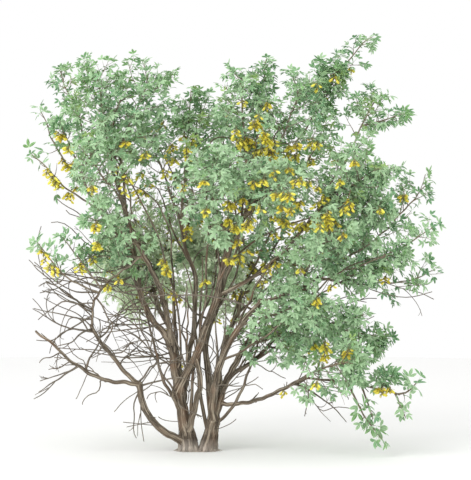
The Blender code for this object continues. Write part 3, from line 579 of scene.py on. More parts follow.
SHOOTS = {  # by region, name: parent, how far along it, tip, bow, reach, share with no twigs, habit
    "left": {
        "left_top_shoot": ("left_high_bough", 1, (-0.79, 0.2, 2.16), (0.05, 0, 0), 0.13, 0.18, "spray"),
        "left_shoot_high": ("left_high_bough", 1, (-0.88, -0.04, 1.92), (-0.02, 0, -0.02), 0.1, 0.45, "wisp"),
        "left_shoot_low": ("left_high_bough", 0.6, (-0.93, -0.1, 1.68), (0, 0, -0.02), 0.1, 0.45, "wisp"),
        "left_crown": ("left_crown_bough", 1, (-0.56, -0.1, 2.12), NO_PUSH, 0.23, 0.15, "clump"),
        "left_inner_crown": ("left_crown_bough", 1, (-0.24, -0.02, 2.12), (-0.02, 0, 0), 0.24, 0.25, "clump"),
        "left_front_clump": ("left_crown_bough", 0.55, (-0.6, -0.4, 1.66), NO_PUSH, 0.19, 0.15, "spray"),
        "left_low_clump": ("inner_left_stem", 0.9, (-0.53, -0.32, 1.37), (0, 0, -0.02), 0.17, 0.15, "spray"),
        "left_low_shoot": ("elbow_bough", 0.45, (-0.86, -0.33, 1.17), (-0.02, 0, -0.04), 0.1, 0.5, "wisp"),
    },
    "middle": {
        "centre_left_crown": ("mid_stem", 1, (-0.3, 0.32, 1.84), NO_PUSH, 0.24, 0.1, "clump"),
        "centre_top": ("mid_stem", 1, (0.02, 0.3, 1.98), NO_PUSH, 0.22, 0.25, "spray"),
        "centre_crown": ("centre_bough", 1, (0.25, -0.14, 2.12), (-0.01, 0, 0), 0.22, 0.2, "clump"),
        "centre_right_crown": ("centre_bough", 1, (0.6, -0.06, 2.06), (0.02, 0, 0), 0.25, 0.2, "clump"),
        "front_centre": ("centre_side_bough", 1, (0.1, -0.48, 1.56), NO_PUSH, 0.24, 0.05, "clump"),
        "front_right": ("centre_bough", 0.6, (0.46, -0.5, 1.5), NO_PUSH, 0.23, 0.15, "clump"),
    },
    "right": {
        "top_right_shoot": ("inner_right_stem", 1, (1, 0.22, 2.36), (-0.07, 0.02, 0), 0.17, 0.3, "spray"),
        "right_upper_shoot": ("long_right_bough", 1, (1.02, 0.14, 1.99), NO_PUSH, 0.2, 0.18, "spray"),
        "right_outer_crown": ("long_right_bough", 1, (1.05, -0.34, 1.60), (0, 0, 0.02), 0.2, 0.15, "spray"),
        "right_front_crown": ("right_high_bough", 0.55, (0.74, -0.46, 1.26), NO_PUSH, 0.23, 0.15, "clump"),
        "right_shoot_high": ("right_high_bough", 1, (1.3, 0.1, 1.5), (0.03, 0, -0.03), 0.15, 0.15, "spray"),
        "right_shoot_middle": ("right_high_bough", 1, (1.31, -0.36, 1.27), (0.03, 0, -0.03), 0.16, 0.25,
                               "shoot"),
        "right_shoot_low": ("right_high_bough", 1, (1.34, 0.02, 1.02), (0.02, 0, -0.06), 0.17, 0.25, "shoot"),
    },
    "low_right": {
        "right_low_front": ("outer_right_stem", 1, (0.68, -0.42, 0.84), (0.03, 0, 0.02), 0.24, 0.15, "clump"),
        "right_low_side": ("far_right_stem", 1, (1.05, 0.22, 0.62), (0, 0, 0.03), 0.2, 0.25, "spray"),
        "low_right_clump": ("low_right_bough", 1, (0.84, -0.38, 0.52), (0, 0, 0.02), 0.17, 0.15, "spray"),
        "low_right_end": ("low_right_arm", 1, (1.22, -0.32, 0.42), (0, 0, -0.02), 0.13, 0.1, "wisp"),
        "low_right_hanging": ("low_right_arm", 0.45, (1.02, -0.3, 0.1), (0, 0, -0.03), 0.1, 0.35, "wisp"),
    },
    "rear": {
        "rear_low": ("rear_left_stem", 1, (-0.12, 0.66, 1.22), (-0.02, 0, 0.02), 0.3, 0.02, "haze"),
        "rear_crown_left": ("rear_left_stem", 1, (-0.5, 0.52, 1.8), (0, 0.03, 0), 0.25, 0.25, "spray"),
        "rear_crown_centre": ("rear_right_stem", 1, (0.12, 0.58, 1.88), (0, 0.03, 0), 0.25, 0.25, "spray"),
        "rear_crown_right": ("rear_right_stem", 1, (0.72, 0.5, 1.82), NO_PUSH, 0.24, 0.25, "spray"),
        "rear_right_low": ("rear_right_stem", 0.85, (0.88, 0.46, 1.16), (0, 0, 0.03), 0.24, 0.25, "spray"),
    },
}
HABITS = {  # stem radii, twigs, twiglets a twig, leaflet length
    "haze": ((0.0070, 0.0030), 46, 5, 0.040),
    "clump": ((0.0070, 0.0030), 24, 4, 0.038),
    "spray": ((0.0070, 0.0030), 19, 3, 0.040),
    "shoot": ((0.0062, 0.0024), 10, 1, 0.046),
    "wisp": ((0.0062, 0.0024), 4, 0, 0.053),
}
LEAF_GROWTH = {"left": 0.96, "middle": 0.94, "right": 0.96, "low_right": 1.06, "rear": 1.0}
OWN_FORM = {  # mass: how long its twigs are beside the others', and which way they lean
    "rear_low": (1.35, (-0.6, 0, -0.1)),
    "right_outer_crown": (1.1, (-0.2, 0, 0.3)),
    "right_shoot_high": (1.5, (-0.2, 0, 0.5)),
    "rear_right_low": (1.5, (0.7, 0, 0.5)),
    "rear_crown_right": (1.15, (0, 0, 0)),
    "top_right_shoot": (1.1, (0.1, 0, -0.05)),
    "right_upper_shoot": (1.2, (0, 0, 0)),
    "low_right_clump": (1.35, (0.3, 0, -0.1)),
    "right_low_side": (1.1, (0, 0, -0.7)),
    "low_right_end": (0.6, (0, 0, 0)),
    "low_right_hanging": (0.55, (0, 0, 0)),
    "left_top_shoot": (1.1, (-0.1, 0, 0.1)),
    "left_low_clump": (1.2, (-0.2, 0, -0.3)),
    "centre_top": (1.2, (0.2, 0, -0.1)),
}
AIRY = (  # across, up, half width, half height, share of its leaves that such a place keeps
    (-0.24, 1.45, 0.20, 0.22, 0.30),
    (0.18, 1.27, 0.17, 0.12, 0.45),
    (0.78, 2.26, 0.05, 0.05, 0.4),
    (-0.52, 2.17, 0.04, 0.06, 0.2),
    (0.88, 1.86, 0.065, 0.05, 0.08),
    (1.13, 1.70, 0.13, 0.10, 0.05),
    (1.25, 1.60, 0.07, 0.12, 0.15),
    (1.19, 1.77, 0.08, 0.05, 0.2),
    (1.21, 1.35, 0.07, 0.05, 0.25),
    (1.27, 1.17, 0.07, 0.04, 0.35),
    (1.35, 0.95, 0.05, 0.06, 0.3),
    (1.33, 0.44, 0.09, 0.12, 0.0),
    (-0.84, 1.96, 0.06, 0.06, 0.4),
    (0.70, 0.40, 0.08, 0.05, 0.4),
    (0.14, 2.10, 0.05, 0.08, 0.35),
    (0.28, 2.20, 0.09, 0.05, 0.4),
    (0.64, 2.17, 0.04, 0.06, 0.25),
    (0.99, 2.20, 0.05, 0.05, 0.3),
    (-0.09, 2.06, 0.06, 0.06, 0.2),
    (-0.25, 2.17, 0.08, 0.05, 0.3),
    (-0.73, 1.64, 0.12, 0.10, 0.30),
    (-0.76, 2.10, 0.10, 0.09, 0.4),
    (-0.86, 1.07, 0.07, 0.07, 0.3),
    (-0.60, 1.90, 0.06, 0.12, 0.6),
    (0.75, 0.93, 0.10, 0.06, 0.15),
    (0.76, 0.48, 0.06, 0.06, 0.3),
    (1.03, 0.76, 0.09, 0.07, 0.25),
    (0.86, 0.20, 0.09, 0.06, 0.2),
    (-0.21, 0.66, 0.27, 0.13, 0.25),
    (0.12, 0.60, 0.12, 0.20, 0.5),
    (0.02, 1.70, 0.08, 0.05, 0.5),
    (0.17, 1.74, 0.06, 0.04, 0.55),
    (-0.04, 1.46, 0.05, 0.13, 0.45),
    (0.10, 1.53, 0.05, 0.05, 0.5),
    (0.06, 1.22, 0.07, 0.06, 0.5),
    (-0.53, 1.58, 0.07, 0.11, 0.42),
    (-0.40, 1.37, 0.10, 0.08, 0.40),
    (-0.60, 1.38, 0.05, 0.08, 0.5),
    (-0.31, 1.76, 0.06, 0.07, 0.5),
)
BARE_SHARE = 0.1  # a place that keeps less than this has no twigs either
SIDE_SHOOTS = {  # short ones, by region: the same rows
    "left": {
        "side_shoot_1": ("left_high_bough", 0.8, (-0.77, -0.06, 1.86), NO_PUSH, 0.10, 0.4, "shoot"),
        "side_shoot_2": ("elbow_bough", 0.5, (-0.74, -0.15, 1.20), NO_PUSH, 0.10, 0.4, "wisp"),
        "side_shoot_3": ("inner_left_stem", 0.8, (-0.62, 0.05, 1.10), NO_PUSH, 0.13, 0.5, "shoot"),
    },
    "middle": {
        "side_shoot_4": ("mid_stem", 0.95, (-0.04, 0.25, 2.05), NO_PUSH, 0.12, 0.5, "spray"),
        "side_shoot_5": ("centre_bough", 0.9, (0.39, -0.05, 2.20), NO_PUSH, 0.09, 0.6, "spray"),
        "side_shoot_6": ("centre_side_bough", 0.5, (0.16, -0.40, 1.24), NO_PUSH, 0.12, 0.3, "spray"),
    },
    "right": {
        "side_shoot_7": ("top_right_shoot", 0.66, (0.80, 0.12, 2.17), NO_PUSH, 0.10, 0.2, "spray"),
        "side_shoot_19": ("top_right_shoot", 0.68, (0.70, 0.10, 2.20), NO_PUSH, 0.07, 0.5, "shoot"),
        "side_shoot_8": ("long_right_bough", 0.95, (1.04, -0.3, 1.36), NO_PUSH, 0.15, 0.3, "clump"),
        "side_shoot_9": ("right_high_bough", 0.9, (1.05, -0.2, 1.02), NO_PUSH, 0.10, 0.5, "spray"),
        "side_shoot_14": ("right_upper_shoot", 0.75, (1.18, 0.1, 1.91), NO_PUSH, 0.07, 0.4, "shoot"),
        "side_shoot_15": ("long_right_bough", 0.95, (1.03, -0.3, 1.56), NO_PUSH, 0.11, 0.5, "spray"),
        "side_shoot_16": ("right_shoot_middle", 0.5, (1.12, -0.32, 1.12), NO_PUSH, 0.09, 0.3, "shoot"),
    },
    "low_right": {
        "side_shoot_10": ("low_right_arm", 0.70, (1.07, -0.32, 0.44), NO_PUSH, 0.08, 0.3, "shoot"),
        "side_shoot_11": ("low_right_arm", 0.60, (0.97, -0.32, 0.22), NO_PUSH, 0.07, 0.4, "wisp"),
        "side_shoot_12": ("low_right_arm", 0.95, (1.15, -0.30, 0.22), NO_PUSH, 0.06, 0.5, "wisp"),
        "side_shoot_17": ("outer_right_stem", 0.97, (0.92, -0.3, 0.78), NO_PUSH, 0.12, 0.5, "spray"),
    },
    "rear": {
        "side_shoot_13": ("rear_right_stem", 0.8, (0.05, 0.6, 1.20), NO_PUSH, 0.22, 0.05, "haze"),
        "side_shoot_18": ("rear_left_stem", 0.92, (-0.48, 0.50, 1.12), NO_PUSH, 0.20, 0.2, "haze"),
    },
}
FIRST_SIDE_SEED = 300
SHOOT_RING = 0.02
STEM_OVERSHOOT = 0.2  # how far a stem goes on past its last twig, in leaflet lengths
COLLAR_SHARE = 0.8  # how wide a stem's foot is, beside the bough that it grows from
COLLAR_FADE = 0.035
GOLDEN_ANGLE = math.radians(137.5)
TWIG_ANGLE = math.radians(52)
TWIGLET_ANGLE = math.radians(44)
LOW_TWIG_TURN = math.radians(50)  # how much wider the first twigs of a mass spread than its last
TWIG_LIFT = 0.05
LAST_TWIG = 0.97
TWIG_FULLNESS = (0.72, 0.42)  # twig length at the ends of a mass, and what its middle adds
TWIG_RADII = (0.0030, 0.0011)
TWIGLET_RADII = (0.0015, 0.0008)
TWIG_POINTS, TWIGLET_POINTS = 8, 4
TWIG_SIDES, TWIGLET_SIDES = 5, 3
TWIG_CURVE = (0, 0, 0.16)  # how far a twig turns up towards the light over its length
TWIG_KINK = 0.10
TIP_THINNING = 0.25  # how much shorter a mass's twigs are at its tip than at its foot
LEAF_SPACING = 0.026
LEAF_LIFT = -0.22  # leaves hang a little
LEAF_ANGLES = (35, 75)  # degrees between a leaf's stalk and its twig
LEAF_SIZES = (0.78, 1.15)
STALK = 0.45  # a leaf's stalk, in leaflet lengths
REACH_SLACK, HAZE_SLACK = 1.12, 1.3  # how far past its reach a mass may have leaves, beside it
EDGE_ROOM = 0.004  # metres between a leaf's tip and the edge of the shrub's own space
LEAF_DROP = 0.03  # a leaf hangs at least this far above the lowest twigs
SHOOT_SIDES = 9
STEM_TIP = 0.5  # how thick a stem's very end is, beside its last twig's joint
WISP_SPACING = 1.5
FIRST_TWIG = 0.4  # where the twigs of a full mass begin, beside its share with no twigs
TWIG_SPREADS, TWIG_LENGTHS = (0.75, 1.1), (0.80, 1.15)
TWIG_SHARE = 0.75  # a twig is no thicker than this, beside its stem
TIP_LEAF_ROOM = 0.7  # in leaflet lengths
TWIGLET_PLACES = (0.22, 0.68)  # the first one's place, and how much of the twig they take up
TWIGLET_LENGTHS = (0.34, 0.52)
TWIGLET_SHORTENING = (1.15, 0.5)
TWIGLET_LIFT, TWIGLET_CURVE = 0.15, (0, 0, 0.3)
TIP_LEAF_TURNS = (0.0, 2.2, 4.3)
TIP_LEAF_SCATTER = 0.4
TIP_LEAF_ANGLE = math.radians(38)
BARE_STEM_END = 0.35  # share of a stem, a twig and a twiglet that bears no leaf
BARE_TWIG, BARE_TWIGLET = 0.3, 0.2
HELD_STEP = 0.85
THINNING_SEED = 11
low_limit, high_limit = (np.array(corner) for corner in solid_box)
NEAR_GROUND = 0.014
LEAF_TINTS = {  # colour of the upper side, its share of the sprays in dense masses, and on long shoots
    "blue_green": ((0.210, 0.435, 0.205), 0.34, 0.45),
    "mid_green": ((0.190, 0.420, 0.120), 0.30, 0.15),
    "sea_green": ((0.095, 0.290, 0.125), 0.18, 0.40),
    "yellow_green": ((0.310, 0.480, 0.090), 0.12, 0.0),
    "pale_green": ((0.350, 0.560, 0.270), 0.06, 0.0),
    "soft_green": ((0.780, 0.880, 0.640), 0.0, 0.0),  # painted light: a near-white green that makes all of the haze of far leaves look lit though they hang in the crown's shade
}
YOUNG_BARK_TONES = ((0.085, 0.060, 0.040), (0.24, 0.19, 0.13), (0.44, 0.40, 0.32), (0.24, 0.15, 0.09))


def along_line(line, places):
    """Points and headings at some distances along a line of points."""
    runs = np.diff(line, axis=0)
    along = np.concatenate([[0], np.cumsum(np.linalg.norm(runs, axis=1))])
    run = np.clip(np.searchsorted(along, places) - 1, 0, len(runs) - 1)
    part = (places - along[run]) / (along[run + 1] - along[run])
    return line[run] + runs[run] * part[:, None], unit(runs[run])


def span_of(line):
    """The length of a line of points."""
    return np.linalg.norm(np.diff(line, axis=0), axis=1).sum()


def parted(ahead, turn, angle, lift):
    """Headings at an angle from others, turned round them and lifted towards the light."""
    level = np.where(np.abs(ahead[..., 2:]) > 0.9, [1.0, 0.2, 0.1], [0.1, 0.3, 1.0])
    side = unit(np.cross(ahead, level))
    over = np.cross(ahead, side)
    turn, angle = np.asarray(turn)[..., None], np.asarray(angle)[..., None]
    way = ahead * np.cos(angle) + (side * np.cos(turn) + over * np.sin(turn)) * np.sin(angle)
    return unit(way + np.array((0, 0, 1.0)) * lift)


def curving(foot, heading, length, count, draw, curve, kink):
    """The line of a twig, which sets off along a heading, bends by the curve and is a little kinked."""
    points, step = [np.asarray(foot, float)], length / (count - 1)
    for _ in range(count - 1):
        points.append(points[-1] + heading * step)
        heading = unit(heading + draw.normal(0, kink, 3) + np.asarray(curve) / (count - 1))
    return np.array(points)


def held_in(line):
    """A twig made shorter until it ends within the shrub's own space."""
    while (line < low_limit).any() or (line > high_limit).any():
        line = line[0] + (line - line[0]) * HELD_STEP
    return line


def tint_of(drawn, habit):
    """Which of the tints a spray has, from a number between 0 and 1."""
    # Haze leaves all take the painted light green.
    if habit == "haze":
        return list(LEAF_TINTS).index("soft_green")
    shares = np.cumsum([row[2 if habit in ("shoot", "wisp") else 1] for row in LEAF_TINTS.values()])
    return int(np.searchsorted(shares / shares[-1], drawn))


def inside_place(points, across, up, half_width, half_height):
    """Whether each point lies in an airy place, as seen from in front."""
    return np.hypot((points[:, 0] - across) / half_width, (points[:, 2] - up) / half_height) < 1


def in_sky(point):
    """Whether a twig would end where hardly a leaf grows, and so doesn't grow itself."""
    return any(share < BARE_SHARE and inside_place(point[None], *place)[0] for *place, share in AIRY)


def grow_shoot(name, row, seed, size):
    """The stem, twigs, twiglets and leaves of one mass, as lines and as rows of leaves."""
    parent, place, tip, bow, reach, bare, habit = row
    radii, twigs, twiglets, leaflet = HABITS[habit]
    leaflet *= size
    spacing = LEAF_SPACING * (WISP_SPACING if habit == "wisp" else 1)
    draw = np.random.default_rng(seed)
    foot, bough, _ = lines[parent].at(min(place, TIP_JOIN))
    stem = Centreline(foot, tip, bow, radii, seed, step=SHOOT_RING)
    collar = max(0, bough * COLLAR_SHARE - radii[0])
    stem.radii = stem.radii + collar * np.exp(-stem.along / COLLAR_FADE)
    lines[name], parents[name] = stem, parent
    overshoot = stem.points[-1] + unit(stem.runs[-1]) * leaflet * STEM_OVERSHOOT
    grown = {"stem": np.vstack([stem.points, overshoot]), "twigs": [], "twiglets": []}
    leaves = []  # base, heading, size, spray

    def add_leaves(line, start, spray, spray_ends=True):
        places = np.arange(start, span_of(line), spacing * draw.uniform(0.9, 1.1))
        if len(places):
            base, ahead = along_line(line, places)
            turns = GOLDEN_ANGLE * np.arange(len(places)) + draw.uniform(0, 2 * math.pi)
            angles = np.radians(draw.uniform(*LEAF_ANGLES, len(places)))
            headings = parted(ahead, turns, angles, LEAF_LIFT)
            for point, heading in zip(base, headings):
                leaves.append((point, heading, leaflet * draw.uniform(*LEAF_SIZES), spray))
        end = unit(line[-1] - line[-2])
        for turn in TIP_LEAF_TURNS if spray_ends else TIP_LEAF_TURNS[:2]:
            turned = turn + draw.uniform(-TIP_LEAF_SCATTER, TIP_LEAF_SCATTER)
            way = parted(end, turned, TIP_LEAF_ANGLE, LEAF_LIFT)
            leaves.append((line[-1], way, leaflet * draw.uniform(*LEAF_SIZES), spray))

    turn = draw.uniform(0, 2 * math.pi)
    first = bare if habit == "wisp" else bare * FIRST_TWIG
    full, lean = OWN_FORM.get(name, (1.0, NO_PUSH))
    for number in range(twigs):
        order = (number + 0.5) / twigs
        share = first + (LAST_TWIG - first) * order
        start, width, ahead = stem.at(share)
        turn += GOLDEN_ANGLE
        spread = TWIG_ANGLE * draw.uniform(*TWIG_SPREADS) + LOW_TWIG_TURN * (1 - order) ** 2
        heading = unit(parted(ahead, turn, spread, TWIG_LIFT) + np.array(lean))
        fullness = TWIG_FULLNESS[0] + TWIG_FULLNESS[1] * math.sin(math.pi * order)
        length = (reach - TIP_LEAF_ROOM * leaflet) * fullness
        length *= draw.uniform(*TWIG_LENGTHS) * (1 - TIP_THINNING * order * order) * full
        twig = held_in(curving(start, heading, length, TWIG_POINTS, draw, TWIG_CURVE, TWIG_KINK))
        if in_sky(twig[-1]):
            continue
        grown["twigs"].append((twig, min(TWIG_RADII[0], width * TWIG_SHARE)))
        spray = tint_of(draw.uniform(), habit)
        length = span_of(twig)
        add_leaves(twig, BARE_TWIG * length, spray)
        for extra in range(twiglets):
            along = length * (TWIGLET_PLACES[0] + TWIGLET_PLACES[1] * (extra + 0.5) / twiglets)
            base, way = along_line(twig, np.array([along]))
            side = parted(way[0], turn + GOLDEN_ANGLE * (extra + 1), TWIGLET_ANGLE, TWIGLET_LIFT)
            shortened = TWIGLET_SHORTENING[0] - TWIGLET_SHORTENING[1] * along / length
            reach_out = length * draw.uniform(*TWIGLET_LENGTHS) * shortened
            twiglet = curving(base[0], side, reach_out, TWIGLET_POINTS, draw, TWIGLET_CURVE, TWIG_KINK)
            twiglet = held_in(twiglet)
            if in_sky(twiglet[-1]):
                continue
            grown["twiglets"].append(twiglet)
            add_leaves(twiglet, BARE_TWIGLET * reach_out, spray, spray_ends=False)
    start = stem.length * max(bare, BARE_STEM_END)
    add_leaves(grown["stem"], start, tint_of(draw.uniform(), habit))
    return stem, grown, leaves


young_bark = bark_finish("young_bark", YOUNG_BARK_TONES, 420.0, 30.0, 0.001)
twig_lines = {}  # the twigs of each mass, for the blossom to hang from
leaf_rows = {}  # by region: base, heading, size and spray
seed = FIRST_STEM_SEED + len(STEMS)


def joined_bark(name, parts, finish):
    """A joined piece that rides on the shrub and takes a slot's finish."""
    piece = joined(name, parts, finish)
    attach(piece, "root")
    return piece


thinning = np.random.default_rng(THINNING_SEED)
for region, shoots in SHOOTS.items():
    leaf_rows[region], parts, twigs, twig_widths, twiglets = [], [], [], [], []
    short = SIDE_SHOOTS[region]
    seeds = [*range(seed, seed + len(shoots)), *range(FIRST_SIDE_SEED, FIRST_SIDE_SEED + len(short))]
    seed += len(shoots)
    for (name, row), own_seed in zip({**shoots, **short}.items(), seeds):
        stem, grown, leaves = grow_shoot(name, row, own_seed, LEAF_GROWTH[region])
        reach = row[4] * (HAZE_SLACK if row[6] == "haze" else REACH_SLACK)
        ends = np.array([base + heading * size * (1 + STALK) for base, heading, size, _ in leaves])
        keep = (stem.above_bark(ends)[0] < reach) & (ends > low_limit + EDGE_ROOM).all(1)
        keep &= (ends < high_limit - EDGE_ROOM).all(1) & (ends[:, 2] > NEAR_GROUND + LEAF_DROP)
        for *place, share in AIRY:
            keep &= ~inside_place(ends, *place) | (thinning.random(len(ends)) < share)
        leaf_rows[region] += [leaf for leaf, kept in zip(leaves, keep) if kept]
        widths = np.append(stem.radii, stem.radii[-1] * STEM_TIP)
        parts.append(round_tubes(grown["stem"][None], widths[None], SHOOT_SIDES))
        own_twigs = [line for line, _ in grown["twigs"]]
        twigs += own_twigs
        twig_widths += [width for _, width in grown["twigs"]]
        twiglets += grown["twiglets"]
        twig_lines[name] = [stem.points[len(stem.points) // 3 :]] if row[6] == "wisp" else own_twigs
    taper = np.linspace(1, TWIG_RADII[1] / TWIG_RADII[0], TWIG_POINTS)
    widths = np.array(twig_widths)[:, None] * taper
    parts.append(round_tubes(np.array(twigs), widths, TWIG_SIDES))
    if twiglets:
        widths = np.tile(np.linspace(*TWIGLET_RADII, TWIGLET_POINTS), (len(twiglets), 1))
        parts.append(round_tubes(np.array(twiglets), widths, TWIGLET_SIDES))
    joined_bark(region + "_twigs", parts, young_bark)

# ---------------------------------------------------------------- thin stems
# Slender live stems, a finger thick or less, that rise from the old stems into the leafy masses
# beside the thick boughs. Each leaves its parent almost along it and bends towards the light.

THIN_STEMS = {"haze": 2, "clump": 2, "spray": 1, "shoot": 1, "wisp": 0}
THIN_STEM_RADII = (0.0066, 0.0024)
THIN_STEM_START = (0.25, 0.92)
THIN_STEM_END = (0.15, 0.75)
THIN_STEM_SET_OFF = 0.16  # how far it follows its parent, as a share of its length
THIN_STEM_BOW = 0.09
THIN_STEM_SWAY = 0.035
THIN_STEM_STEP = 0.016
THIN_STEM_SEED = 40
THIN_STEM_SCATTER = 0.05
THIN_STEM_SHARE = 0.7  # how thick its foot is, beside its parent
THIN_STEM_COLLAR = 0.6
THIN_STEM_ROOM = 0.01
THIN_STEM_SIDES = 8
WATER_SHOOT_SWAY = 0.012
SEEDS = 1 << 30


def ancestors(name):
    """The limbs that lead from one limb back to its trunk."""
    found = []
    while parents[name]:
        name = parents[name]
        found.append(name)
    return found


WATER_SHOOTS = (  # trunk, how far along it, tip, bow and radii
    ("left_trunk", 0.10, (-0.01, -0.04, 0.56), (0.034, -0.03, 0), (0.0175, 0.0130)),
    ("left_trunk", 0.22, (-0.08, 0.04, 1.06), (0.060, -0.02, 0), (0.0110, 0.0024)),
    ("right_trunk", 0.30, (0.03, 0.02, 1.10), (-0.040, 0.02, 0), (0.0120, 0.0024)),
    ("right_trunk", 0.80, (0.36, -0.10, 0.84), (0.075, -0.04, -0.04), (0.0100, 0.0030)),
    ("left_trunk", 0.70, (-0.33, 0.02, 0.92), (-0.03, -0.04, -0.02), (0.0100, 0.0030)),
    ("left_trunk", 0.90, (-0.06, -0.10, 0.96), (0.03, -0.02, 0), (0.0080, 0.0024)),
)

parts = []
draw = np.random.default_rng(THIN_STEM_SEED)
thin_lines = []
for trunk, place, tip, bow, radii in WATER_SHOOTS:
    foot = lines[trunk].at(place)[0]
    own_seed, sway = int(draw.integers(SEEDS)), draw.normal(0, WATER_SHOOT_SWAY, 3)
    line = Centreline(foot, tip, bow, radii, own_seed, sway, step=THIN_STEM_STEP)
    thin_lines.append(line)
    parts.append(limb_skin(line, STEM_SIDES[1], len(parts), STEM_RELIEF))
for shoots in SHOOTS.values():
    for name, row in shoots.items():
        old = [other for other in ancestors(name) if other not in TRUNKS] or ancestors(name)
        for _ in range(THIN_STEMS[row[6]]):
            source = lines[old[draw.integers(len(old))]]
            foot, bough, ahead = source.at(draw.uniform(*THIN_STEM_START))
            tip = lines[name].at(draw.uniform(*THIN_STEM_END))[0] + draw.normal(0, THIN_STEM_SCATTER, 3)
            chord = np.linalg.norm(tip - foot)
            bow = ahead * chord * THIN_STEM_SET_OFF + draw.normal(0, THIN_STEM_BOW, 3) * chord
            thick = min(THIN_STEM_RADII[0], bough * THIN_STEM_SHARE)
            own_seed, sway = int(draw.integers(SEEDS)), draw.normal(0, THIN_STEM_SWAY, 3) * chord
            radii = (thick, THIN_STEM_RADII[1])
            line = Centreline(foot, tip, bow, radii, own_seed, sway, step=THIN_STEM_STEP)
            collar = (bough * THIN_STEM_SHARE - thick) * np.exp(-line.along / COLLAR_FADE)
            line.radii = line.radii + collar * THIN_STEM_COLLAR
            low, high = low_limit + THIN_STEM_ROOM, high_limit - THIN_STEM_ROOM
            if (line.points > low).all() and (line.points < high).all():
                thin_lines.append(line)
                parts.append(round_tubes(line.points[None], line.radii[None], THIN_STEM_SIDES))
joined_bark("thin_stems", parts, stem_bark)

# ---------------------------------------------------------------- bare twigs
# Last year's growth that has died back, grey and brittle: long switches that fan out from dead
# stems, fork at narrow angles and end in spurs. A few more stand along the live boughs.

BARE_STEMS = {  # name: parent, how far along it, tip, bow, reach, share with no twigs, twigs
    "bare_low_left": ("low_left_bough", 0.55, (-0.86, -0.34, 0.36), NO_PUSH, 0.16, 0.2, 2),
    "bare_left": ("rising_bough", 0.9, (-0.94, 0.1, 0.8), (0, 0, -0.03), 0.24, 0.1, 4),
    "bare_high_left": ("elbow_bough", 0.22, (-0.95, 0, 1.08), (0, 0.03, -0.03), 0.2, 0.05, 4),
    "bare_inner_left": ("left_trunk", 0.92, (-0.36, -0.24, 0.86), (-0.02, 0, -0.02), 0.24, 0.25, 8),
    "bare_low_right": ("low_right_bough", 0.85, (0.84, -0.08, 0.17), (0, 0, 0.04), 0.14, 0.25, 2),
}
BARE_STEM_RADII = (0.0062, 0.0020)
SWITCH_ANGLES = (16, 58)  # degrees from the dead stem
SWITCH_LENGTHS = (1.0, 2.0)  # in reaches
SWITCH_RADII = (0.0050, 0.0024)
SPUR_RADII = (0.0032, 0.0015)
SPURLET_RADII = (0.0019, 0.0010)
SWITCH_POINTS, SPUR_POINTS, SPURLET_POINTS = 12, 8, 5
SPURS, SPURLETS = (0, 3), (0, 2)
FORK_ANGLES = (16, 44)
SHORTEST_SPUR = 0.03
SWITCH_BEND = 1.0
HANGING_BEND = 0.3
ARCH_WAVES = (2, 3, 5)
ARCH_WAVER = 0.020
SWITCH_LIFTS = (-0.3, 0.4)
SWITCH_KINK = 0.06
SPUR_PLACES, SPUR_LENGTHS = (0.2, 0.85), (0.5, 1.1)
SPUR_SHARE = 0.8  # a spur is no thicker than this, beside what it grows on
DEAD_STEM_SIDES = 10
DEAD_SIDES = (6, 4, 3)  # of switches, spurs and spurlets
DEAD_TAPER = 0.8
THICKEST_COLLAR = 0.012
DEAD_REACH_SLACK = 1.05
SWITCH_LIFT = 0.05
SIDE_TWIG_ANGLES = (30, 70)
SIDE_TWIG_LIFT = 0.08
SIDE_TWIG_LENGTHS = (0.3, 1.0)
SIDE_TWIG_RADIUS = (0.0026, 0.003)  # at the foot, and what each metre of length adds
EDGE_WAVER = (0.003, 0.06, 37)  # least room at the edge, most more, and how quickly it changes
DEAD_TONES = (
    (0.045, 0.034, 0.024),
    (0.150, 0.122, 0.088),
    (0.36, 0.32, 0.26),
    (0.14, 0.09, 0.058),
)
SIDE_TWIGS = {  # limb: from how far along to how far, how many, longest, and which way they lean
    "low_left_bough": (0.2, 0.98, 4, 0.16, (-0.2, 0, 0.3)),
    "rising_bough": (0.3, 0.98, 3, 0.40, (-0.6, 0, 0.3)),
    "elbow_bough": (0.05, 0.95, 5, 0.40, (-0.6, 0, 0)),
    "low_stem": (0.4, 0.97, 2, 0.20, (0, 0, 0)),
    "main_left_stem": (0.3, 0.95, 4, 0.50, (-0.8, -0.1, 0.1)),
    "outer_left_stem": (0.05, 0.8, 4, 0.50, (-0.8, -0.1, 0)),
    "inner_left_stem": (0.05, 0.8, 4, 0.50, (-0.6, -0.2, 0)),
    "centre_stem": (0.1, 0.95, 9, 0.30, (0.2, 0, 0)),
    "mid_stem": (0.1, 0.9, 8, 0.34, (0, 0, 0)),
    "inner_right_stem": (0.1, 0.95, 8, 0.30, (0.2, 0, 0)),
    "middle_right_stem": (0.1, 0.95, 10, 0.32, (0.3, 0, 0)),
    "outer_right_stem": (0.1, 0.95, 8, 0.32, (0.3, 0, 0)),
    "far_right_stem": (0.1, 0.95, 8, 0.32, (0.4, 0, 0)),
    "low_right_bough": (0.25, 0.97, 4, 0.20, (0.2, 0, -0.1)),
    "low_right_arm": (0.1, 0.95, 4, 0.18, (0.2, 0, -0.2)),
    "long_right_bough": (0.1, 0.6, 6, 0.20, (0.2, 0, 0)),
    "right_high_bough": (0.1, 0.75, 8, 0.26, (0.6, 0, 0)),
    "rear_left_stem": (0.3, 0.95, 6, 0.24, (0, 0, 0)),
    "rear_right_stem": (0.3, 0.95, 6, 0.24, (0, 0, 0)),
}
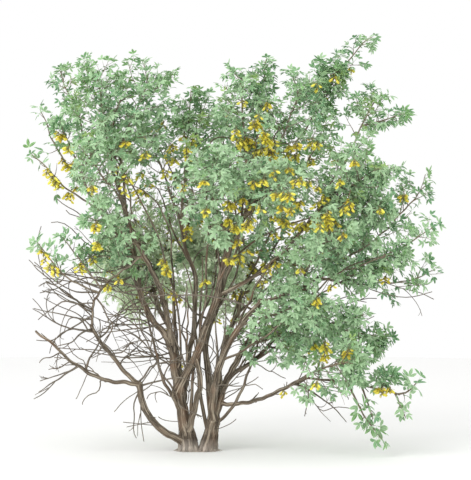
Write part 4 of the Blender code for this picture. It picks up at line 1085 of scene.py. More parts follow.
HANGING_TWIGS = (  # limb, how far along it, heading, length and radius at the foot
    ("low_stem", 0.96, (0.02, -0.1, -1), 0.38, 0.0040),
    ("low_stem", 0.93, (-0.7, -0.2, -0.5), 0.20, 0.0028),
    ("low_stem", 0.90, (0.6, -0.3, 0.35), 0.24, 0.0034),
    ("low_stem", 0.97, (0.5, -0.2, 0.8), 0.20, 0.0040),
    ("low_stem", 0.45, (-0.8, -0.3, 0.1), 0.20, 0.0024),
    ("low_left_bough", 0.45, (-0.4, -0.1, -0.8), 0.16, 0.0028),
    ("left_trunk", 0.5, (-0.8, -0.3, -0.1), 0.18, 0.0022),
    ("right_trunk", 0.7, (0.8, -0.3, 0.1), 0.16, 0.0022),
    ("right_low_side", 0.35, (1, -0.1, 0.1), 0.36, 0.0026),
    ("right_low_side", 0.55, (1, -0.3, -0.25), 0.30, 0.0024),
    ("right_shoot_low", 0.35, (1, -0.2, -0.45), 0.42, 0.0028),
    ("right_shoot_low", 0.55, (1, 0.1, -0.35), 0.34, 0.0024),
)
ARCHING_SWITCHES = (  # limb, how far along it, tip, bow and radius at the foot
    ("elbow_bough", 0.55, (-0.93, -0.20, 1.11), (0, -0.03, -0.035), 0.0047),
    ("elbow_bough", 0.45, (-0.93, 0.10, 1.05), (0, 0.04, -0.05), 0.0057),
    ("elbow_bough", 0.50, (-0.91, -0.05, 0.98), (0, 0.03, 0.015), 0.0050),
    ("outer_left_stem", 0.75, (-0.82, -0.10, 1.01), (0, -0.05, -0.03), 0.0060),
    ("left_low_shoot", 0.50, (-0.91, -0.20, 0.92), (0, 0.03, -0.01), 0.0032),
    ("elbow_bough", 0.12, (-0.86, -0.15, 0.91), (0, 0.03, 0.03), 0.0040),
    ("rising_bough", 0.97, (-0.88, 0.16, 0.86), (0, 0.04, 0.015), 0.0042),
    ("elbow_bough", 0.18, (-0.90, 0.02, 0.74), (0, -0.04, 0.085), 0.0065),
    ("elbow_bough", 0.10, (-0.91, -0.12, 0.81), (0, 0.05, -0.01), 0.0052),
    ("elbow_bough", 0.14, (-0.92, 0.12, 0.62), (0, 0.06, -0.03), 0.0057),
    ("rising_bough", 0.95, (-0.78, -0.24, 0.60), (0, -0.04, -0.01), 0.0063),
    ("low_left_bough", 0.72, (-0.87, -0.20, 0.51), (0, 0.02, 0.01), 0.0045),
    ("low_left_bough", 0.62, (-0.81, -0.30, 0.48), (0, 0, -0.01), 0.0040),
    ("low_left_bough", 0.48, (-0.56, 0.00, 0.75), (0.03, 0.02, 0), 0.0077),
    ("low_left_bough", 0.32, (-0.63, -0.22, 0.28), (0.02, 0, 0.01), 0.0047),
    ("elbow_bough", 0.38, (-0.60, -0.12, 0.53), (0.11, -0.06, 0), 0.0055),
    ("main_left_stem", 0.85, (-0.65, -0.10, 0.59), (0, -0.08, -0.04), 0.0057),
    ("main_left_stem", 0.45, (-0.49, 0.10, 0.73), (0, 0.05, -0.03), 0.0057),
    ("main_left_stem", 0.95, (-0.52, -0.16, 0.79), (0, -0.06, 0.02), 0.0052),
    ("outer_left_stem", 0.50, (-0.51, -0.02, 0.76), (0, -0.05, -0.02), 0.0055),
    ("outer_left_stem", 0.55, (-0.67, 0.16, 1.07), (0, 0.06, -0.05), 0.0055),
    ("outer_left_stem", 0.58, (-0.65, -0.05, 1.15), (0, -0.04, -0.02), 0.0050),
    ("inner_left_stem", 0.35, (-0.50, -0.14, 0.89), (0, -0.05, -0.03), 0.0057),
    ("inner_left_stem", 0.25, (-0.44, 0.12, 0.80), (0, 0.06, 0.02), 0.0057),
    ("outer_left_stem", 0.20, (-0.54, 0.22, 0.70), (0, 0.03, 0.03), 0.0050),
    ("outer_left_stem", 0.10, (-0.42, 0.20, 0.52), (0, 0.03, 0.03), 0.0045),
    ("centre_stem", 0.20, (-0.06, 0.02, 0.91), (-0.03, 0.03, 0), 0.0083),
    ("centre_stem", 0.15, (-0.17, -0.02, 0.86), (-0.01, -0.06, 0), 0.0070),
    ("middle_right_stem", 0.90, (-0.32, -0.12, 0.86), (0, -0.06, 0.06), 0.0070),
    ("inner_right_stem", 0.62, (-0.22, -0.05, 0.96), (0, -0.10, 0), 0.0070),
    ("left_trunk", 0.95, (-0.28, -0.08, 0.30), (0, -0.03, 0.03), 0.0042),
    ("low_stem", 0.97, (0.08, -0.14, 0.33), (0, -0.04, 0.075), 0.0065),
    ("rising_bough", 0.04, (0.02, -0.14, 0.44), (0, -0.05, 0.11), 0.0060),
    ("left_trunk", 0.98, (0.04, -0.10, 0.21), (0, -0.05, -0.04), 0.0035),
    ("low_right_bough", 0.92, (0.86, -0.24, 0.26), (-0.02, -0.02, -0.07), 0.0032),
    ("low_right_bough", 0.97, (0.85, -0.10, 0.30), (0, 0.02, 0.01), 0.0030),
    ("outer_left_stem", 0.30, (-0.58, -0.04, 0.76), (0, 0.04, -0.04), 0.0057),
    ("inner_left_stem", 0.55, (-0.62, -0.10, 0.95), (0, -0.06, -0.04), 0.0057),
    ("outer_left_stem", 0.85, (-0.78, 0.10, 1.00), (0, 0.05, -0.02), 0.0057),
    ("inner_left_stem", 0.20, (-0.62, 0.00, 0.68), (0, -0.05, -0.02), 0.0057),
    ("main_left_stem", 0.70, (-0.60, 0.06, 0.52), (0, 0.05, 0.03), 0.0052),
    ("rising_bough", 0.60, (-0.33, -0.10, 0.62), (0, -0.04, -0.02), 0.0055),
    ("rising_bough", 0.35, (-0.30, 0.06, 0.55), (0, 0.04, 0.03), 0.0047),
    ("rising_bough", 0.80, (-0.42, 0.10, 0.86), (0.03, 0.04, 0), 0.0055),
    ("low_left_bough", 0.25, (-0.72, -0.10, 0.60), (0, -0.04, -0.03), 0.0050),
    ("left_high_bough", 0.45, (-0.80, 0.05, 1.43), (0, 0, -0.03), 0.0042),
    ("left_high_bough", 0.25, (-0.74, 0.00, 1.36), (0, 0, -0.03), 0.0037),
    ("outer_left_stem", 0.97, (-0.82, -0.05, 1.29), (0, -0.03, -0.03), 0.0042),
    ("middle_right_stem", 0.25, (0.37, -0.15, 0.36), (0, -0.03, 0.03), 0.0042),
    ("far_right_stem", 0.30, (0.50, 0.00, 0.41), (0, -0.02, 0.02), 0.0042),
    ("far_right_stem", 0.70, (0.62, 0.02, 0.50), (0, -0.02, 0.02), 0.0042),
    ("elbow_bough", 0.62, (-0.94, 0.06, 0.88), (0, 0.03, 0.03), 0.0044),
    ("far_right_stem", 0.97, (1.02, 0.05, 0.86), (0, 0, 0.05), 0.0044),
    ("far_right_stem", 0.90, (0.94, -0.05, 0.90), (0, 0, 0.04), 0.0040),
    ("low_stem", 0.96, (-0.32, -0.10, 0.03), (-0.035, 0, 0), 0.0055),
    ("right_trunk", 0.97, (0.10, -0.10, 0.88), (0.012, -0.02, 0), 0.0130),
    ("right_trunk", 0.97, (0.16, -0.12, 0.84), (0.010, -0.03, 0), 0.0110),
    ("elbow_bough", 0.30, (-0.90, 0.14, 0.98), (0, -0.03, -0.06), 0.0044),
    ("outer_left_stem", 0.35, (-0.62, -0.08, 0.62), (0, -0.04, 0.05), 0.0046),
)

dead_bark = bark_finish("dead_bark", DEAD_TONES, 500.0, 26.0, 0.0008)


def branching(foot, heading, length, width, draw, fits, found, level=0, bend=SWITCH_BEND):
    """A dead switch with spurs on it and spurlets on those, each cut off where it no longer fits."""
    count = (SWITCH_POINTS, SPUR_POINTS, SPURLET_POINTS)[level]
    bend = draw.normal(0, bend, 3) + (0, 0, draw.uniform(*SWITCH_LIFTS))
    line = curving(foot, heading, length, count, draw, bend, SWITCH_KINK)
    add_switch(line, width, draw, fits, found, level)


def add_switch(line, width, draw, fits, found, level=0):
    """Keeps as much of a switch as fits, and grows the spurs along it."""
    count, good = len(line), fits(line)
    if not good[: count // 2 + 1].all():
        return
    if not good.all():
        last = int(np.argmin(good)) - 1
        share = np.linspace(0, last, count)
        whole = np.minimum(share.astype(int), last - 1)
        line = line[whole] + (line[whole + 1] - line[whole]) * (share - whole)[:, None]
    found[level].append((line, width))
    if level == 2:
        return
    span = span_of(line)
    turn = draw.uniform(0, 2 * math.pi)
    for _ in range(draw.integers(*(SPURS, SPURLETS)[level])):
        place = span * draw.uniform(*SPUR_PLACES)
        base, ahead = along_line(line, np.array([place]))
        turn += GOLDEN_ANGLE
        way = parted(ahead[0], turn, math.radians(draw.uniform(*FORK_ANGLES)), 0.0)
        left_over = max((span - place) * draw.uniform(*SPUR_LENGTHS), SHORTEST_SPUR)
        thin = min((SPUR_RADII, SPURLET_RADII)[level][0], width * SPUR_SHARE)
        branching(base[0], way, left_over, thin, draw, fits, found, level + 1)


def dead_piece(name, stems, found):
    """One piece of dead stems with their switches, spurs and spurlets."""
    parts = [round_tubes(points[None], widths[None], DEAD_STEM_SIDES) for points, widths in stems]
    for rows, sides, radii in zip(found, DEAD_SIDES, (SWITCH_RADII, SPUR_RADII, SPURLET_RADII)):
        if rows:
            grown = np.array([line for line, _ in rows])
            share = np.linspace(0, 1, grown.shape[1]) ** DEAD_TAPER
            widths = np.array([width for _, width in rows])[:, None] * (1 - share) + radii[1] * share
            parts.append(round_tubes(grown, widths, sides))
    return joined_bark(name, parts, dead_bark)


def in_room(points):
    """Whether points lie inside the shrub's own space, whose edge wavers a little."""
    least, more, quickness = EDGE_WAVER
    edge = least + more * np.abs(np.sin(quickness * points[0].sum() + 1))
    inside = (points > low_limit + edge).all(1) & (points < high_limit - edge).all(1)
    return inside & (points[:, 2] > NEAR_GROUND)


for name, (parent, place, tip, bow, reach, bare, twigs) in BARE_STEMS.items():
    foot, bough, _ = lines[parent].at(min(place, TIP_JOIN))
    stem = Centreline(foot, tip, bow, BARE_STEM_RADII, seed, step=SHOOT_RING)
    collar = max(0, min(bough, THICKEST_COLLAR) * COLLAR_SHARE - stem.radii[0])
    stem.radii = stem.radii + collar * np.exp(-stem.along / COLLAR_FADE)
    lines[name], parents[name] = stem, parent
    draw = np.random.default_rng(seed)
    found = ([], [], [])

    def near_stem(points):
        return in_room(points) & (stem.above_bark(points)[0] < reach * DEAD_REACH_SLACK)

    turn = draw.uniform(0, 2 * math.pi)
    for number in range(twigs):
        share = bare + (LAST_TWIG - bare) * number / twigs
        start, width, ahead = stem.at(share)
        turn += GOLDEN_ANGLE
        heading = parted(ahead, turn, math.radians(draw.uniform(*SWITCH_ANGLES)), SWITCH_LIFT)
        length = reach * draw.uniform(*SWITCH_LENGTHS)
        thin = min(SWITCH_RADII[0], width * SPUR_SHARE)
        branching(start, heading, length, thin, draw, near_stem, found)
    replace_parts(dead_piece(name + "_twigs", [(stem.points, stem.radii)], found), name)
    seed += 1

draw = np.random.default_rng(seed)
found = ([], [], [])
for name, (first, last, count, longest, lean) in SIDE_TWIGS.items():
    turn = draw.uniform(0, 2 * math.pi)
    for _ in range(count):
        start, width, ahead = lines[name].at(draw.uniform(first, last))
        turn += GOLDEN_ANGLE
        angle = math.radians(draw.uniform(*SIDE_TWIG_ANGLES))
        heading = unit(parted(ahead, turn, angle, SIDE_TWIG_LIFT) + lean)
        length = longest * draw.uniform(*SIDE_TWIG_LENGTHS)
        thick = min(SIDE_TWIG_RADIUS[0] + SIDE_TWIG_RADIUS[1] * length, width / 2)
        branching(start, heading, length, thick, draw, in_room, found)
for name, place, heading, length, width in HANGING_TWIGS:
    start = lines[name].at(place)[0]
    branching(start, unit(np.array(heading, float)), length, width, draw, in_room, found, bend=HANGING_BEND)
share = np.linspace(0, 1, SWITCH_POINTS)[:, None]
for name, place, tip, bow, width in ARCHING_SWITCHES:
    foot = lines[name].at(min(place, TIP_JOIN))[0]
    line = foot + share * (np.array(tip) - foot) + np.sin(math.pi * share) * bow
    for waves in ARCH_WAVES:
        line = line + np.sin(waves * math.pi * share) * draw.normal(0, ARCH_WAVER / waves, 3)
    add_switch(line, width, draw, in_room, found)
dead_piece("dead_side_twigs", [], found)

# ---------------------------------------------------------------- blossom
# Narrow golden pea flowers in short hanging bunches, below the leaves and on the older wood: a
# green-brown calyx, a short standard with a dark stain, two long wings and a keel.

FRONT_BLOSSOM = (  # across, up and how many bunches hang there, on the front of the shrub
    (-0.72, 1.75, 5), (-0.74, 1.60, 4), (-0.78, 1.53, 4), (-0.73, 1.49, 4), (-0.37, 1.47, 2),
    (-0.52, 1.47, 1), (-0.09, 1.72, 7), (-0.45, 1.74, 1), (-0.13, 1.70, 4), (-0.14, 1.49, 1),
    (-0.22, 1.66, 1), (-0.58, 1.28, 3), (0.10, 1.37, 1), (0.16, 1.33, 4), (0.22, 1.31, 3),
    (0.00, 1.54, 1), (-0.28, 1.50, 1), (-0.25, 1.56, 1), (0.00, 1.23, 3), (0.10, 1.30, 1),
    (0.22, 1.73, 1), (0.30, 1.77, 7), (0.38, 1.75, 6), (0.29, 1.70, 4), (0.44, 1.71, 6), (0.51, 1.67, 2),
    (0.30, 1.57, 1), (0.27, 1.89, 1), (0.39, 1.95, 1), (0.58, 1.70, 3), (0.34, 1.81, 6), (0.35, 1.51, 1),
    (0.41, 1.59, 1), (0.52, 1.60, 1), (0.33, 1.31, 2), (0.56, 1.28, 5), (0.62, 1.77, 2), (0.89, 1.65, 1),
    (0.74, 2.07, 1), (0.76, 2.12, 1), (0.89, 2.22, 1), (0.76, 1.52, 1), (0.63, 1.49, 2), (0.57, 1.55, 1),
    (0.66, 1.41, 3), (0.60, 1.36, 8), (0.72, 1.31, 5), (0.78, 1.31, 4), (0.82, 1.29, 2), (0.84, 1.40, 1),
    (1.15, 1.38, 1), (0.96, 1.32, 1), (0.45, 1.26, 4), (0.27, 1.22, 4), (0.26, 1.35, 5), (0.47, 1.38, 6),
    (0.30, 1.07, 4), (0.12, 1.10, 1), (0.20, 1.02, 1), (0.40, 1.02, 2), (0.54, 0.97, 1), (0.62, 0.93, 1),
    (0.36, 0.90, 1), (0.81, 0.93, 1), (1.10, 0.94, 1), (0.62, 0.80, 1), (0.72, 0.61, 5), (0.79, 0.62, 2),
    (0.46, 0.41, 1), (0.62, 0.41, 1), (1.03, 0.35, 1), (1.09, 0.32, 1), (0.95, 0.35, 1), (-0.78, 1.09, 2),
    (-0.71, 1.07, 3), (-0.61, 1.05, 3), (-0.59, 1.18, 1), (-0.49, 1.13, 1), (-0.20, 1.04, 3),
    (-0.15, 1.05, 2), (-0.49, 0.96, 1), (-0.54, 0.91, 1), (0.03, 0.92, 1), (-0.13, 0.86, 1),
)
BACK_BUNCHES = 150
FRONT_SPREAD = 0.07
BACK_STARTS = 0.15  # how far behind the middle the rest of the blossom begins
SLENDER = 0.0135  # blossom hangs from limbs no thicker than this
FLOWERS = (4, 8)
FLOWER_LENGTH = 0.038
FLOWER_WIDTH = 1.3  # wider than the shape below by this much
FLOWER_SIZES = (0.85, 1.2)
FLOWER_DROOP = (-1.3, -0.2)  # how far a flower's heading dips, beside how far it goes out
FLOWER_STALK_RADIUS = 0.0009
FLOWER_STALK_SIDES = 3
BUNCH_LENGTH = 0.045
BUNCH_LENGTHS = (0.7, 1.3)
BUNCH_SWING = 0.35
FIRST_FLOWER = 0.25  # how far down its bunch the first flower is
FIRST_TURNS = 6.28  # radians
RICH_SHARE = 0.45  # bunches that are the second yellow
FEWEST_PLACES, PLACE_CHOICES = 4, 2  # places near a front bunch's own, and foremost ones, for each bunch
BUNCH_CHOICES = 3  # a bunch at the back hangs from the rearmost of this many places
PETAL_YELLOW = ((0.76, 0.70, 0.07), (0.72, 0.62, 0.05))
PETAL_LIGHTER = (1.15, 0.06)  # how much brighter the grain is: times, and plus
PETAL_BASE = (0.50, 0.48, 0.10)
PETAL_STAIN = (0.20, 0.09, 0.02)
CALYX = (0.34, 0.33, 0.13)
CALYX_SHADE = (0.17, 0.13, 0.05)
CALYX_RINGS = ((0.0, 0.035), (0.12, 0.10), (0.33, 0.095))  # how far along the flower, and radius
CALYX_SIDES = 5
KEEL = (
    (0.2, 0, 0.03), (0.62, 0.075, 0.045), (0.62, -0.075, 0.045),
    (0.60, 0, -0.15), (0.90, 0, -0.10), (1.0, 0, 0.03),
)
KEEL_FACES = ((0, 3, 1), (0, 2, 3), (1, 3, 4), (2, 4, 3), (1, 4, 5), (2, 5, 4))
WING = (  # the one on the left
    (0.22, 0.05, 0.06), (0.5, 0.125, -0.03), (0.52, 0.11, 0.11),
    (0.80, 0.15, -0.01), (0.82, 0.13, 0.10), (0.95, 0.13, 0.05),
)
WING_FACES = ((0, 1, 2), (1, 3, 2), (3, 4, 2), (3, 5, 4))
STANDARD = (
    (0.2, 0, 0.07), (0.36, 0.13, 0.15), (0.40, 0, 0.20), (0.36, -0.13, 0.15),
    (0.56, 0.15, 0.27), (0.60, 0, 0.26), (0.56, -0.15, 0.27), (0.66, 0, 0.31),
)
STANDARD_FACES = (
    (0, 2, 1), (0, 3, 2), (1, 2, 5), (1, 5, 4), (2, 3, 6), (2, 6, 5), (4, 5, 7), (5, 6, 7),
)
STAINED_CORNERS = (2, 5)  # of the standard, along its middle
FAINT_STAIN = 0.35


def petal_finish(name, yellow):
    """Yellow petals, greener towards the calyx, with a dark stain on the standard."""
    made, tree, shader = new_finish(name)
    place = mark_node(tree, "petal")
    parts = new_node(tree, "ShaderNodeSeparateXYZ", Vector=place)
    grain = new_node(tree, "ShaderNodeTexNoise", Vector=place, Scale=9.0, Detail=3.0)
    lighter = tuple(min(1.0, part * PETAL_LIGHTER[0] + PETAL_LIGHTER[1]) for part in yellow)
    colour = mixed(tree, grain.outputs["Fac"], yellow, lighter)
    colour = mixed(tree, between(tree, parts.outputs["X"], 0.50, 0.22, 0.0, 0.7), colour, PETAL_BASE)
    colour = mixed(tree, between(tree, parts.outputs["Y"], 0.55, 1.0, 0.0, 0.9), colour, PETAL_STAIN)
    tree.links.new(colour, shader.inputs["Base Color"])
    tree.links.new(between(tree, grain.outputs["Fac"], 0.3, 0.7, 0.45, 0.6), shader.inputs["Roughness"])
    return made


def calyx_finish():
    """The green-brown cup and stalk of a flower, in a fine grain of two shades."""
    made, tree, shader = new_finish("calyx")
    where = new_node(tree, "ShaderNodeNewGeometry").outputs["Position"]
    grain = new_node(tree, "ShaderNodeTexNoise", Vector=where, Scale=220.0, Detail=3.0)
    colour = mixed(tree, grain.outputs["Fac"], CALYX, CALYX_SHADE)
    tree.links.new(colour, shader.inputs["Base Color"])
    tree.links.new(between(tree, grain.outputs["Fac"], 0.3, 0.7, 0.6, 0.8), shader.inputs["Roughness"])
    return made


def flower_shape():
    """One flower of length 1 along x, upper side towards z: corners, triangles, marks, calyx or not."""
    corners, faces, marks, calyx = [], [], [], []

    def add(points, triangles, stains, is_calyx=False):
        start = len(corners)
        corners.extend(points)
        faces.extend([tuple(start + corner for corner in face) for face in triangles])
        marks.extend((0 if is_calyx else x, stain, 0) for (x, _, _), stain in zip(points, stains))
        calyx.extend([is_calyx] * len(triangles))

    turn = 2 * math.pi * np.arange(CALYX_SIDES) / CALYX_SIDES
    cup = [(x, radius * math.cos(t), radius * math.sin(t)) for x, radius in CALYX_RINGS for t in turn]
    walls = []
    for low in (0, CALYX_SIDES):
        high = low + CALYX_SIDES
        for corner in range(CALYX_SIDES):
            beside = (corner + 1) % CALYX_SIDES
            walls.append((low + corner, low + beside, high + beside))
            walls.append((low + corner, high + beside, high + corner))
    add(cup, walls, [0] * len(cup), is_calyx=True)
    add(KEEL, KEEL_FACES, [0] * len(KEEL))
    for side in (1, -1):
        add([(x, side * y, z) for x, y, z in WING], WING_FACES, [0] * len(WING))
    stains = [1.0 if number in STAINED_CORNERS else FAINT_STAIN for number in range(len(STANDARD))]
    add(STANDARD, STANDARD_FACES, stains)
    return (np.array(part, float) for part in (corners, faces, marks, calyx))


shape_corners, shape_faces, shape_marks, shape_calyx = flower_shape()
draw = np.random.default_rng(seed + 1)
places, ways, sizes, deep, stalks = [], [], [], [], []


def add_bunch(top):
    """Flowers round a thin hanging stalk, facing outwards and a little down."""
    swing = unit(np.array((*draw.uniform(-BUNCH_SWING, BUNCH_SWING, 2), -1.0)))
    length = BUNCH_LENGTH * draw.uniform(*BUNCH_LENGTHS)
    count = draw.integers(*FLOWERS)
    bottom = top + swing * length
    stalks.append((top, bottom))
    turn = draw.uniform(0, FIRST_TURNS)
    rich = draw.uniform() < RICH_SHARE
    for number in range(count):
        turn += GOLDEN_ANGLE
        out = np.array((math.cos(turn), math.sin(turn), draw.uniform(*FLOWER_DROOP)))
        places.append(top + swing * length * (FIRST_FLOWER + (1 - FIRST_FLOWER) * number / count))
        ways.append(unit(out))
        sizes.append(FLOWER_LENGTH * draw.uniform(*FLOWER_SIZES))
        deep.append(rich)


limbs = [lines[name] for name in STEMS] + thin_lines
limb_points = [line.points[line.radii < SLENDER] for line in limbs]
hanging = np.concatenate([line[2:] for grown in twig_lines.values() for line in grown] + limb_points)
for across, up, bunches in FRONT_BLOSSOM:
    offset = np.hypot(hanging[:, 0] - across, hanging[:, 2] - BUNCH_LENGTH / 2 - up)
    near = hanging[np.argsort(offset)[: max((offset < FRONT_SPREAD).sum(), FEWEST_PLACES * bunches)]]
    near = near[np.argsort(near[:, 1])[: PLACE_CHOICES * bunches]]
    for top in near[draw.permutation(len(near))[:bunches]]:
        add_bunch(top)
behind = hanging[hanging[:, 1] > BACK_STARTS]
for _ in range(BACK_BUNCHES):
    some = behind[draw.integers(len(behind), size=BUNCH_CHOICES)]
    add_bunch(some[some[:, 1].argmax()])

places, ways, sizes, deep = (np.array(part) for part in (places, ways, sizes, deep))
sides = unit(np.cross((0.0, 0.0, 1.0), ways))
overs = np.cross(ways, sides)
corners = places[:, None] + sizes[:, None, None] * (
    ways[:, None] * shape_corners[:, :1]
    + FLOWER_WIDTH * (sides[:, None] * shape_corners[:, 1:2] + overs[:, None] * shape_corners[:, 2:])
)
faces = shape_faces.astype(int)[None] + (np.arange(len(places)) * len(shape_corners))[:, None, None]
finish = np.where(shape_calyx[None] == 1, 2, deep[:, None] * 1).astype(int)
stalk_radii = np.full((len(stalks), 2), FLOWER_STALK_RADIUS)
stalk_corners, stalk_faces, _, _ = round_tubes(np.array(stalks), stalk_radii, FLOWER_STALK_SIDES)
flowers = len(corners.reshape(-1, 3))
blossom = mesh_piece(
    "blossom",
    np.concatenate([corners.reshape(-1, 3), stalk_corners]),
    np.concatenate([faces.reshape(-1, 3), stalk_faces + flowers]),
    [
        petal_finish("petal_yellow", PETAL_YELLOW[0]),
        petal_finish("petal_gold", PETAL_YELLOW[1]),
        calyx_finish(),
    ],
    {"petal": np.concatenate([np.tile(shape_marks, (len(places), 1)), np.zeros((len(stalk_corners), 3))])},
    np.concatenate([finish.ravel(), np.full(len(stalk_faces), 2)]),
    smooth=False,
)
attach(blossom, "root")

# ---------------------------------------------------------------- leaves
# Thin leaves of three leaflets on a stalk, grey-green above and paler below, in sprays of one tint
# each. They part round the blossom, so that it shows.

STALK_RADIUS = 0.0008
STALK_TAPER = (1.2, 0.8)
LEAFLETS = ((0.0, 1.0), (math.radians(58), 0.9), (-math.radians(58), 0.9))  # turn, and size
LEAFLET_SCATTER = 0.12
BLADE_OUTLINE = ((0.0, 0.0), (0.2, 0.12), (0.5, 0.20), (0.8, 0.14), (1.0, 0.0))
BLADE_HEART = 0.46
BLADE_FOLD = 0.24
BLADE_DROOP = 0.22
DROOPS, FOLDS = (0.3, 1.8), (0.5, 1.5)  # how much each leaflet has of those
CROWN_HEART = np.array((0.22, 0.1, 1.2))  # leaves turn their faces away from here, and up
FACING = (0.55, 0.65, 0.48)  # how much a leaf turns up, away from the heart, and anywhere
PALE_EDGE = (0.60, 0.76, 0.50)
# Painted shade: the deep green that the leaves' mottle darkens them towards, standing for the shade between
# leaves.
PAINTED_SHADE_GREEN = (0.05, 0.12, 0.07)
UNDERSIDE = (0.29, 0.47, 0.25)
PAINTED_SHADE_AMOUNTS = (0.55, 0.25)  # how much painted shade the mottle lays on the green, above and below
# Painted light for the haze leaves: pale backs and little painted shade, so that they look lit in the crown's
# shade.
PAINTED_LIGHT_UNDERSIDE = (0.70, 0.82, 0.58)
HAZE_PAINTED_SHADE_AMOUNTS = (0.2, 0.1)
LEAF_MIDDLE = 0.4  # of a leaf, in leaflet lengths beyond its stalk
CLEAR_OF_FLOWER = 0.034
TOUCHING = 3  # nearer than that divided by this, a leaf is in a flower's way from any side
FRONT_DEPTH = 0.1  # flowers nearer than this are looked at from in front, the others from behind
DEPTH_SHARE = 0.15  # depth counts this much when a leaf is tested for hiding a flower
SHOWN = np.array((1, DEPTH_SHARE, 1))


def leaf_shapes(rows, draw):
    """The corners, triangles, blade places and tint of face of leaves with three leaflets each."""
    base, ahead, size, tint = (np.array(column) for column in zip(*rows))
    outward = unit(base - CROWN_HEART)
    outward[:, 2] = np.maximum(outward[:, 2], 0)
    upward, outwards_share, scatter = FACING
    facing = np.array((0, 0, upward)) + outward * outwards_share + draw.normal(0, scatter, base.shape)
    across = unit(np.cross(facing, ahead))
    facing = np.cross(ahead, across)
    stalk_end = base + ahead * (size * STALK)[:, None]
    corners, faces, blades, tints = [], [], [], []
    outline = np.array([*BLADE_OUTLINE, *[(x, -y) for x, y in BLADE_OUTLINE[-2:0:-1]], (BLADE_HEART, 0.0)])
    widest = max(y for _, y in BLADE_OUTLINE)
    marks = np.stack([outline[:, 0], outline[:, 1] / widest, np.append(np.ones(len(outline) - 1), 0)], 1)
    rim = len(outline) - 1
    fan = np.array([(rim, number, (number + 1) % rim) for number in range(rim)])
    start = 0
    for turn, share in LEAFLETS:
        turned = turn + draw.normal(0, LEAFLET_SCATTER, len(rows))
        way = ahead * np.cos(turned)[:, None] + across * np.sin(turned)[:, None]
        side = np.cross(facing, way)
        droop = BLADE_DROOP * draw.uniform(*DROOPS, len(rows))
        fold = BLADE_FOLD * draw.uniform(*FOLDS, len(rows))
        for_each = (size * share)[:, None, None]
        rise = fold[:, None] * np.abs(outline[:, 1]) - droop[:, None] * outline[:, 0] ** 2
        points = stalk_end[:, None] + for_each * (
            way[:, None] * outline[:, :1] + side[:, None] * outline[:, 1:] + facing[:, None] * rise[..., None]
        )
        corners.append(points.reshape(-1, 3))
        starts = start + np.arange(len(rows)) * len(outline)
        faces.append((fan[None] + starts[:, None, None]).reshape(-1, 3))
        blades.append(np.tile(marks, (len(rows), 1)))
        tints.append(np.repeat(tint, len(fan)))
        start += len(rows) * len(outline)
    stalks = np.stack([base, stalk_end], 1)
    widths = np.full((len(rows), 2), STALK_RADIUS) * STALK_TAPER
    points, walls, _, _ = round_tubes(stalks, widths, TWIGLET_SIDES)
    corners.append(points)
    faces.append(walls + start)
    blades.append(np.tile((0.5, 0.0, 0.5), (len(points), 1)))
    tints.append(np.repeat(tint, len(walls) // len(rows)))
    return (np.concatenate(part) for part in (corners, faces, blades, tints))


# A blade's look: a pale fold down its middle, faint side veins, a pale edge, and painted shade in a fine and
# a broad mottle that darkens it as the shade between leaves would.
blade_look = bpy.data.node_groups.new("leaf_blade", "ShaderNodeTree")
sockets(blade_look, "INPUT", [("Green", "NodeSocketColor", (0.2, 0.4, 0.2, 1)),
                              ("Pale", "NodeSocketColor", (0.7, 0.8, 0.66, 1)),
                              ("Dark", "NodeSocketFloat", 0.5)])
sockets(blade_look, "OUTPUT", [("Colour", "NodeSocketColor", None), ("Roughness", "NodeSocketFloat", None),
                               ("Height", "NodeSocketFloat", None)])
given = blade_look.nodes.new("NodeGroupInput")
result = blade_look.nodes.new("NodeGroupOutput")
blade = mark_node(blade_look, "blade")
parts = new_node(blade_look, "ShaderNodeSeparateXYZ", Vector=blade)
from_fold = blade_look.nodes.new("ShaderNodeMath")
from_fold.operation = "ABSOLUTE"
blade_look.links.new(parts.outputs["Y"], from_fold.inputs[0])
fold_line = between(blade_look, from_fold.outputs[0], 0.16, 0.04)
edge_line = between(blade_look, parts.outputs["Z"], 0.80, 0.97)
where = new_node(blade_look, "ShaderNodeNewGeometry").outputs["Position"]
shade_mottle = new_node(blade_look, "ShaderNodeTexNoise", Vector=where, Scale=55.0, Detail=4.0)
broad_shade = new_node(blade_look, "ShaderNodeTexNoise", Vector=where, Scale=7.0, Detail=2.0)
veins = new_node(blade_look, "ShaderNodeTexWave", Vector=blade, Scale=2.6, Distortion=1.5)
# Painted shade: both mottles darken the blade towards this colour, as if shade fell between the leaves.
shade = mixed(blade_look, given.outputs["Dark"], given.outputs["Green"], PAINTED_SHADE_GREEN)
pale = given.outputs["Pale"]
colour = given.outputs["Green"]
for mask, low, high, most, tint in (
    (shade_mottle.outputs["Fac"], 0.55, 0.35, 0.75, shade),
    (broad_shade.outputs["Fac"], 0.50, 0.70, 0.5, shade),
    (veins.outputs["Fac"], 0.75, 1.0, 0.25, pale),
    (fold_line, 0.0, 1.0, 0.55, pale),
    (edge_line, 0.0, 1.0, 0.8, pale),
):
    colour = mixed(blade_look, between(blade_look, mask, low, high, 0.0, most), colour, tint)
blade_look.links.new(colour, result.inputs["Colour"])
roughness = between(blade_look, shade_mottle.outputs["Fac"], 0.3, 0.7, 0.5, 0.7)
blade_look.links.new(roughness, result.inputs["Roughness"])
blade_look.links.new(fold_line, result.inputs["Height"])


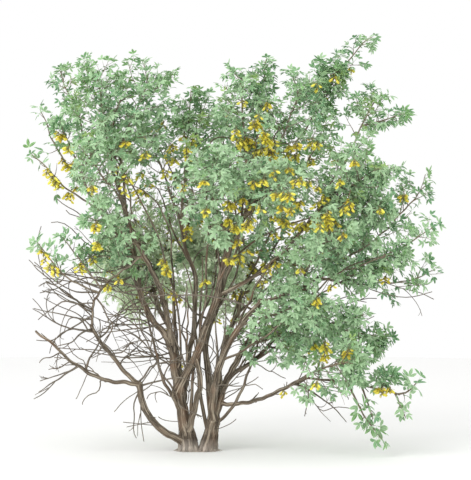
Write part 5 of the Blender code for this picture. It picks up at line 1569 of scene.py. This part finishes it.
def leaf_finish(name, green, underside, painted_shade_amounts):
    """A leaf's material: its own green above, and a duller one on its back, each darkened by a mottle of
    painted shade.
    """
    made, tree, shader = new_finish(name)
    upper, under = (tree.nodes.new("ShaderNodeGroup") for _ in range(2))
    for side, tint, dark in zip((upper, under), (green, underside), painted_shade_amounts):
        side.node_tree = blade_look
        side.inputs["Green"].default_value = (*tint, 1)
        side.inputs["Pale"].default_value = (*PALE_EDGE, 1)
        side.inputs["Dark"].default_value = dark
    backs = new_node(tree, "ShaderNodeNewGeometry").outputs["Backfacing"]
    colour = mixed(tree, backs, upper.outputs["Colour"], under.outputs["Colour"])
    tree.links.new(colour, shader.inputs["Base Color"])
    tree.links.new(upper.outputs["Roughness"], shader.inputs["Roughness"])
    bump = new_node(tree, "ShaderNodeBump", Height=upper.outputs["Height"], Strength=0.3, Distance=0.0005)
    tree.links.new(bump.outputs["Normal"], shader.inputs["Normal"])
    return made



flower_tree = KDTree(len(places))
for number, place in enumerate(places + ways * sizes[:, None] / 2):
    flower_tree.insert(place * SHOWN, number)
flower_tree.balance()


def leaves_room(base, heading, size, _):
    """Whether a leaf neither touches a flower nor hides one from outside."""
    middle = (base + heading * size * (STALK + LEAF_MIDDLE)) * SHOWN
    flower, _, distance = flower_tree.find(middle)
    from_front = flower[1] < FRONT_DEPTH * DEPTH_SHARE
    outside = middle[1] < flower[1] if from_front else middle[1] > flower[1]
    return distance > CLEAR_OF_FLOWER or not (outside or distance < CLEAR_OF_FLOWER / TOUCHING)


leaf_finishes = []
for name, (green, _, _) in LEAF_TINTS.items():
    # The haze leaves take painted light: pale backs and weaker painted shade.
    look = (PAINTED_LIGHT_UNDERSIDE, HAZE_PAINTED_SHADE_AMOUNTS) if name == "soft_green" else (UNDERSIDE, PAINTED_SHADE_AMOUNTS)
    leaf_finishes.append(leaf_finish("leaf_" + name, green, *look))
for region, rows in leaf_rows.items():
    rows = [row for row in rows if leaves_room(*row)]
    corners, faces, blades, tints = leaf_shapes(rows, np.random.default_rng(len(rows)))
    leaves = mesh_piece(
        region + "_leaves", corners, faces, leaf_finishes, {"blade": blades}, tints, smooth=False
    )
    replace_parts(leaves, *SHOOTS[region])
    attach(leaves, "root")
